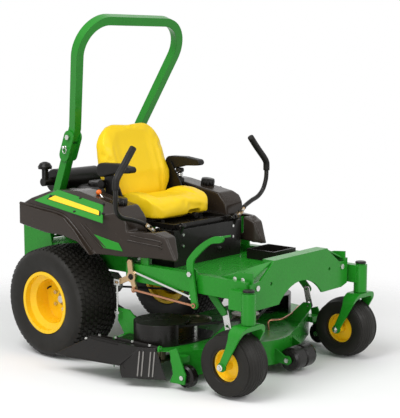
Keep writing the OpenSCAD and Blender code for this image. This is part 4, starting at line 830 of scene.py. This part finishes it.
def thicken(node, name, more, rise):
    """A copy of a bar grown by more, from none at the lower height of the rise to all at the upper."""
    obj = add_object(name, from_bmesh(name, copy_of(node)), FINISHES[node_slots[node]])
    sculpt(obj, lambda place, normal: normal * more * step(place.z, *rise))
    smooth_by_angle(obj, LEVER_SHARP)
    dress(obj, body_of(node), node_slots[node], node)


def make_lever(side):
    hand = SIDES[side]
    lever = "lever_" + side
    thicken(lever, "lever_bar_" + side, LEVER_MORE, LEVER_RISE)
    thicken("grip_" + side, "grip_sleeve_" + side, GRIP_MORE, GRIP_RISE)
    hinge = spot(LEVER_X, hand * LEVER_HINGE[0], LEVER_HINGE[1])
    bend = spot(LEVER_X, hand * LEVER_BEND[0], LEVER_BEND[1])
    along = (bend - hinge).normalized()
    across = Vector((1, 0, 0)).cross(along)
    start, end = STRAP_ENDS
    outline = ((start, -STRAP_HALF), (end, -STRAP_HALF), (end, STRAP_HALF), (start, STRAP_HALF))
    strap = bmesh.new()
    clamps = []
    for face in (-1, 1):
        normal = Vector((face, 0, 0))
        foot = hinge + normal * STRAP_FOOT * MM
        corners = [foot + along * a * MM + across * b * MM for a, b in outline]
        add_slab(strap, rounded(corners, 6), normal, 0.2, STRAP_THICK)
        clamps += [(foot + normal * STRAP_THICK * MM + along * a * MM, normal) for a in STRAP_BOLTS]
    plain_piece("lever_strap_" + side, strap, body_of(lever), "plated")
    bolts("lever_bolts_" + side, body_of(lever), clamps, 6)


for side in SIDES:
    make_lever(side)


# Throttle: a pale bent stem with an orange knob

THROTTLE_Y = -405
THROTTLE_STEM = ((290, 862), (262, 871), (234, 891), (212, 911))
THROTTLE_EYE = ((6, -4), (10, -4), (10, 4), (6, 4), (6, -4))
THROTTLE_KNOB = ((0, -13), (6, -13), (7, -11), (12, -8), (15, -2), (15.5, 3), (13, 9), (8, 13), (0, 14.5))


def make_throttle():
    path = smooth_path([spot(x, THROTTLE_Y, z) for x, z in THROTTLE_STEM])
    body = body_of("throttle_lever")
    stem = bmesh.new()
    add_tube(stem, path, 4)
    add_turned(stem, THROTTLE_EYE, path[0], (0, 1, 0))
    plain_piece("throttle_stem", stem, body, "steel", "throttle_lever")
    knob = bmesh.new()
    add_turned(knob, THROTTLE_KNOB, path[-1], path[-1] - path[-3])
    plain_piece("throttle_knob", knob, body, "orange_knob")


make_throttle()


# Casters: axle bolts, and a cap on top of each swivel

CASTER_CAP = ((0, 0), (29, 0), (30, 2), (30, 6), (26, 10), (10, 11.5), (0, 11.5))
CASTER_BOLT = 11


def make_caster_trim(side):
    fork = "caster_fork_" + side
    wheel = middle("caster_tyre_" + side)
    low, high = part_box(fork)
    ends = [(Vector((wheel.x, low.y, wheel.z)), (0, -1, 0)), (Vector((wheel.x, high.y, wheel.z)), (0, 1, 0))]
    bolts("caster_bolts_" + side, body_of(fork), ends, CASTER_BOLT)
    crown = [v.co for v in nodes[fork].data.vertices if v.co.z > high.z - 2 * MM]
    top = sum(crown, Vector()) / len(crown)
    cap = bmesh.new()
    add_turned(cap, CASTER_CAP, top, UP, sides=40)
    plain_piece("caster_cap_" + side, cap, body_of(fork), "black_plastic")


# Rear wheels: valve stems, given as steps outward and toward the hub, and dark drums on the inner side as
# painted shade in the rims

VALVE = (-92, 58)
VALVE_STEM = ((0, 0), (16, 2), (34, 10))
SHADE_DRUM = ((60, 24), (112, 24), (112, 84), (106, 96), (92, 100), (60, 100), (60, 24))


def make_wheel_trim(side):
    hand = SIDES[side]
    rim = "rear_rim_" + side
    hub = middle(rim)
    outward = Vector((0, hand, 0))
    foot = meet(rim, hub + Vector((VALVE[0], hand * 100, VALVE[1])) * MM, -outward)
    inward = Vector((-VALVE[0], 0, -VALVE[1])).normalized()
    valve = bmesh.new()
    add_tube(valve, smooth_path([foot + (outward * out + inward * near) * MM for out, near in VALVE_STEM]), 5)
    plain_piece("valve_" + side, valve, body_of(rim), "grip_rubber")
    # The dark drum stands in as painted shade inside the rim
    shade_drum = bmesh.new()
    add_turned(shade_drum, SHADE_DRUM, hub, -outward, sides=64)
    plain_piece("drum_" + side, shade_drum, body_of(rim), "cast")


for side in SIDES:
    make_caster_trim(side)
    make_wheel_trim(side)


# Deck: the bent brown rod over its front, and the dark shield under the belt

ABOVE_DECK = 250
DECK_ROD = ((995, 95), (1012, 150), (1018, 200), (974, 346), (912, 488))
DECK_ROD_Z = 228
DECK_ROD_RADIUS = 6
SHIELD = ((478, -400), (505, -560), (580, -592), (720, -592), (815, -540), (865, -420), (875, -250),
          (800, -130), (615, -130), (505, -320))
SHIELD_MIDDLE = (620, -300)
SHIELD_ROUND = 30
SHIELD_THICK = 5


def make_deck_trim():
    path = [spot(x, y, DECK_ROD_Z) for x, y in DECK_ROD]
    feet = [meet("deck_shell", p, DOWN) for p in (path[0], path[-1])]
    rod = bmesh.new()
    add_tube(rod, smooth_path([feet[0]] + path + [feet[1]]), DECK_ROD_RADIUS)
    piece("deck_rod", rod, COPPER_ROD, "deck", "plated")
    top = meet("deck_shell", spot(*SHIELD_MIDDLE, ABOVE_DECK), DOWN).z / MM
    shield = bmesh.new()
    add_slab(shield, rounded([spot(x, y, top) for x, y in SHIELD], SHIELD_ROUND), UP, -0.5, SHIELD_THICK)
    plain_piece("belt_shield", shield, "deck", "black_steel")


make_deck_trim()


# Chute: bars and bolts along its hinge, and light grey strips on the crests of the ribs on its front panel, a
# painted highlight

CHUTE_BARS = ((330, 640, -640), (380, 600, -662))
CHUTE_BAR_STEPS = 10
CHUTE_BAR_RADIUS = 4
CHUTE_BOLTS = (300, 420, 540, 660, 780)
CHUTE_BOLT_Y = -614
CHUTE_BOLT = 7
# The panel's foot is swung about the right spindle, and the panel leans back
PANEL_PIVOT = (707, -446, 45)
PANEL_REACH = 254
PANEL_TURN = 28.2
PANEL_LEAN = 20.3
RIBS = (-58, -38, 0, 20)
RIB_HALF = 3.4
RIB_LOW = 11
RIB_HIGH = 136


def on_chute(x, y):
    return meet("chute", spot(x, y, ABOVE_DECK), DOWN)


def make_chute_trim():
    body = body_of("chute")
    bars = bmesh.new()
    for x0, x1, y in CHUTE_BARS:
        stations = [x0 + (x1 - x0) * k / CHUTE_BAR_STEPS for k in range(CHUTE_BAR_STEPS + 1)]
        add_tube(bars, [on_chute(x, y) for x in stations], CHUTE_BAR_RADIUS)
    plain_piece("chute_ribs", bars, body, "black_plastic")
    turn = Matrix.Rotation(math.radians(PANEL_TURN), 3, "Z")
    lean = turn @ Matrix.Rotation(math.radians(90 - PANEL_LEAN), 3, "X")
    foot = spot(*PANEL_PIVOT) + turn @ Vector((0, -PANEL_REACH, 0)) * MM
    out = lean @ UP
    # Light grey strips on the rib crests, a painted highlight
    crests = bmesh.new()
    for rib in RIBS:
        left = rib - RIB_HALF
        right = rib + RIB_HALF
        outline = ((left, RIB_LOW), (right, RIB_LOW), (right, RIB_HIGH), (left, RIB_HIGH))
        corners = [meet("chute", foot + lean @ Vector((a, up, 0)) * MM, -out) for a, up in outline]
        add_slab(crests, rounded(corners, 2), out, -0.5, 1.0)
    piece("chute_crest_highlights", crests, RIB_HIGHLIGHT_PLASTIC, body, "black_plastic")
    bolts("chute_bolts", body, [(on_chute(x, CHUTE_BOLT_Y), UP) for x in CHUTE_BOLTS], CHUTE_BOLT)


make_chute_trim()


# Seat: the knob with its rings below the left armrest

STACK_X = 189
STACK_BASE = 906
STACK_OUT = 26
STACK_GAP = 4
BESIDE_SEAT = 320
UNDER_ARMREST = (283, 1000)
STACK_LOWER = ((0, 0), (24, 0), (27, 4), (27, 22), (22, 28), (12, 30))
# The upper part and the rings are measured from the knob's top
STACK_UPPER = ((12, -24), (21, -24), (25, -19), (25, -5), (20, 0), (0, 0))
STACK_RING = ((11, 0), (18, 0), (20, 2), (20, 6), (18, 8), (11, 8), (11, 0))
STACK_RINGS = (-46, -36)


def lifted(profile, height):
    return [(radius, up + height) for radius, up in profile]


def make_arm_knob():
    body = body_of("seat_pan")
    plate = meet("seat_pan", spot(STACK_X, BESIDE_SEAT, STACK_BASE), (0, -1, 0))
    top = meet("armrest_left", spot(STACK_X, *UNDER_ARMREST), UP)
    centre = Vector((plate.x, plate.y + STACK_OUT * MM, STACK_BASE * MM))
    height = (top.z - centre.z) / MM - STACK_GAP
    knob = bmesh.new()
    add_turned(knob, list(STACK_LOWER) + lifted(STACK_UPPER, height), centre, UP)
    plain_piece("arm_knob", knob, body, "black_plastic")
    rings = bmesh.new()
    for below in STACK_RINGS:
        add_turned(rings, lifted(STACK_RING, height + below), centre, UP)
    plain_piece("arm_knob_rings", rings, body, "steel")


make_arm_knob()


# Frame: bolts of the beam's gussets, and of the lift crank on the right end of its shaft, as (x, z)

GUSSET_BOLTS = ((1215, 545), (1165, 538))
GUSSET_BOLT = 8
BESIDE_BEAM = 440
CRANK = (515, 495)
CRANK_BOLT = 11
BESIDE_CRANK = -520


def make_frame_bolts():
    places = []
    for hand in SIDES.values():
        for x, z in GUSSET_BOLTS:
            seat = meet("front_beam", spot(x, hand * BESIDE_BEAM, z), (0, -hand, 0))
            places.append((seat, (0, hand, 0)))
    bolts("gusset_bolts", "chassis", places, GUSSET_BOLT)
    crank = meet("rear_lift_shaft", spot(CRANK[0], BESIDE_CRANK, CRANK[1]), (0, 1, 0))
    bolts("crank_bolt", body_of("rear_lift_shaft"), [(crank, (0, -1, 0))], CRANK_BOLT, "black_steel")


make_frame_bolts()


# Roll bar: lock pins with their rings

LOCK_PIN = (-158, 1129)
LOCK_PIN_SHAPE = ((0, -2), (9, -2), (9, 6), (6, 8), (6, 16), (9, 18), (9, 23), (7, 25), (0, 25))
BESIDE_MAST = 330
RING = 17
RING_WIRE = 2.2
RING_OUT = 12
RING_TILT = 0.1
RING_POINTS = 24


def make_lock_pin(side):
    hand = SIDES[side]
    out = Vector((0, hand, 0))
    place = meet("rops_masts", spot(LOCK_PIN[0], hand * BESIDE_MAST, LOCK_PIN[1]), -out)
    pin = bmesh.new()
    add_turned(pin, LOCK_PIN_SHAPE, place, out)
    centre = place + out * RING_OUT * MM + DOWN * RING * MM
    loop = [centre + Vector((math.sin(a), RING_TILT * hand * math.sin(a), math.cos(a))) * RING * MM
            for a in angles(RING_POINTS, RING)]
    add_tube(pin, loop, RING_WIRE, sides=8)
    plain_piece("lock_pin_" + side, pin, "chassis", "steel")


for side in SIDES:
    make_lock_pin(side)


# Stage, light and camera

FLOOR_HALF = 30.0
FLOOR_NEAR = 1.3
FLOOR_FAR = 2.6
FLOOR_COLOUR = (0.93, 0.93, 0.93)
WHITE = (1, 1, 1, 1)
WORLD_LIGHT = 0.5
# Each light's place, target, size and power
LIGHTS = {
    "key": ((0.0, -3.5, 5.0), (0, 0, 0.6), 3.5, 190),
    "front": ((5.0, 0.5, 3.5), (0, 0, 0.6), 3.0, 100),
    "fill": ((2.5, -5.0, 1.0), (0.2, 0, 0.5), 2.5, 60),
}
PHOTO_SIZE = (400, 418)
FOCAL_PIXELS = 1114.6
SENSOR = 36.0
CAMERA_PLACE = (4544.6, -4592.7, 1668.1)
CAMERA_YAW = 130.75
CAMERA_PITCH = -8.045


def make_floor():
    """Paper that carries the shadow near the object and fades into the white backdrop further out."""
    corners = [(x * FLOOR_HALF, y * FLOOR_HALF, 0) for x, y in ((-1, -1), (1, -1), (1, 1), (-1, 1))]
    mesh = bpy.data.meshes.new("floor")
    mesh.from_pydata(corners, [], [(0, 1, 2, 3)])
    material = finish("floor_paper", FLOOR_COLOUR, 0.9, spread=0.008, strength=0.01, gloss=0.1)
    tree = material.node_tree
    reach = tree.nodes.new("ShaderNodeVectorMath")
    reach.operation = "LENGTH"
    link(tree, tree.nodes["Texture Coordinate"].outputs["Object"], reach.inputs[0])
    span = tree.nodes.new("ShaderNodeMapRange")
    span.interpolation_type = "SMOOTHSTEP"
    span.inputs["From Min"].default_value = FLOOR_NEAR
    span.inputs["From Max"].default_value = FLOOR_FAR
    link(tree, reach.outputs["Value"], span.inputs["Value"])
    clear = tree.nodes.new("ShaderNodeBsdfTransparent")
    mix = tree.nodes.new("ShaderNodeMixShader")
    link(tree, span.outputs["Result"], mix.inputs["Fac"])
    link(tree, tree.nodes["Principled BSDF"].outputs["BSDF"], mix.inputs[1])
    link(tree, clear.outputs["BSDF"], mix.inputs[2])
    link(tree, mix.outputs["Shader"], tree.nodes["Material Output"].inputs["Surface"])
    add_object("floor", mesh, material)


def make_world():
    """Even studio light; the camera, mirrors and glass see plain white."""
    world = bpy.data.worlds.new("studio")
    scene.world = world
    world.use_nodes = True
    tree = world.node_tree
    plain = tree.nodes["Background"]
    plain.inputs["Color"].default_value = WHITE
    plain.inputs["Strength"].default_value = WORLD_LIGHT
    seen = tree.nodes.new("ShaderNodeBackground")
    seen.inputs["Color"].default_value = WHITE
    seen.inputs["Strength"].default_value = 1.0
    path = tree.nodes.new("ShaderNodeLightPath")
    white = path.outputs["Is Camera Ray"]
    for ray in ("Is Glossy Ray", "Is Transmission Ray"):
        either = tree.nodes.new("ShaderNodeMath")
        either.operation = "MAXIMUM"
        link(tree, white, either.inputs[0])
        link(tree, path.outputs[ray], either.inputs[1])
        white = either.outputs["Value"]
    mix = tree.nodes.new("ShaderNodeMixShader")
    link(tree, white, mix.inputs["Fac"])
    link(tree, plain.outputs["Background"], mix.inputs[1])
    link(tree, seen.outputs["Background"], mix.inputs[2])
    link(tree, mix.outputs["Shader"], tree.nodes["World Output"].inputs["Surface"])


def area_light(name, place, target, size, power):
    lamp = bpy.data.lights.new(name, "AREA")
    lamp.shape = "DISK"
    lamp.size = size
    lamp.energy = power
    obj = bpy.data.objects.new(name, lamp)
    obj.location = place
    obj.rotation_euler = (Vector(target) - Vector(place)).to_track_quat("-Z", "Y").to_euler()
    scene.collection.objects.link(obj)


def make_camera():
    """The camera that was fitted to the photograph."""
    camera = bpy.data.cameras.new("camera")
    camera.sensor_width = SENSOR
    camera.lens = FOCAL_PIXELS / max(PHOTO_SIZE) * SENSOR
    obj = bpy.data.objects.new("camera", camera)
    obj.location = spot(*CAMERA_PLACE)
    obj.rotation_euler = (math.radians(90 + CAMERA_PITCH), 0, math.radians(CAMERA_YAW - 90))
    scene.collection.objects.link(obj)
    scene.camera = obj


make_floor()
make_world()
for name, settings in LIGHTS.items():
    area_light(name, *settings)
make_camera()
scene.view_settings.view_transform = "Standard"
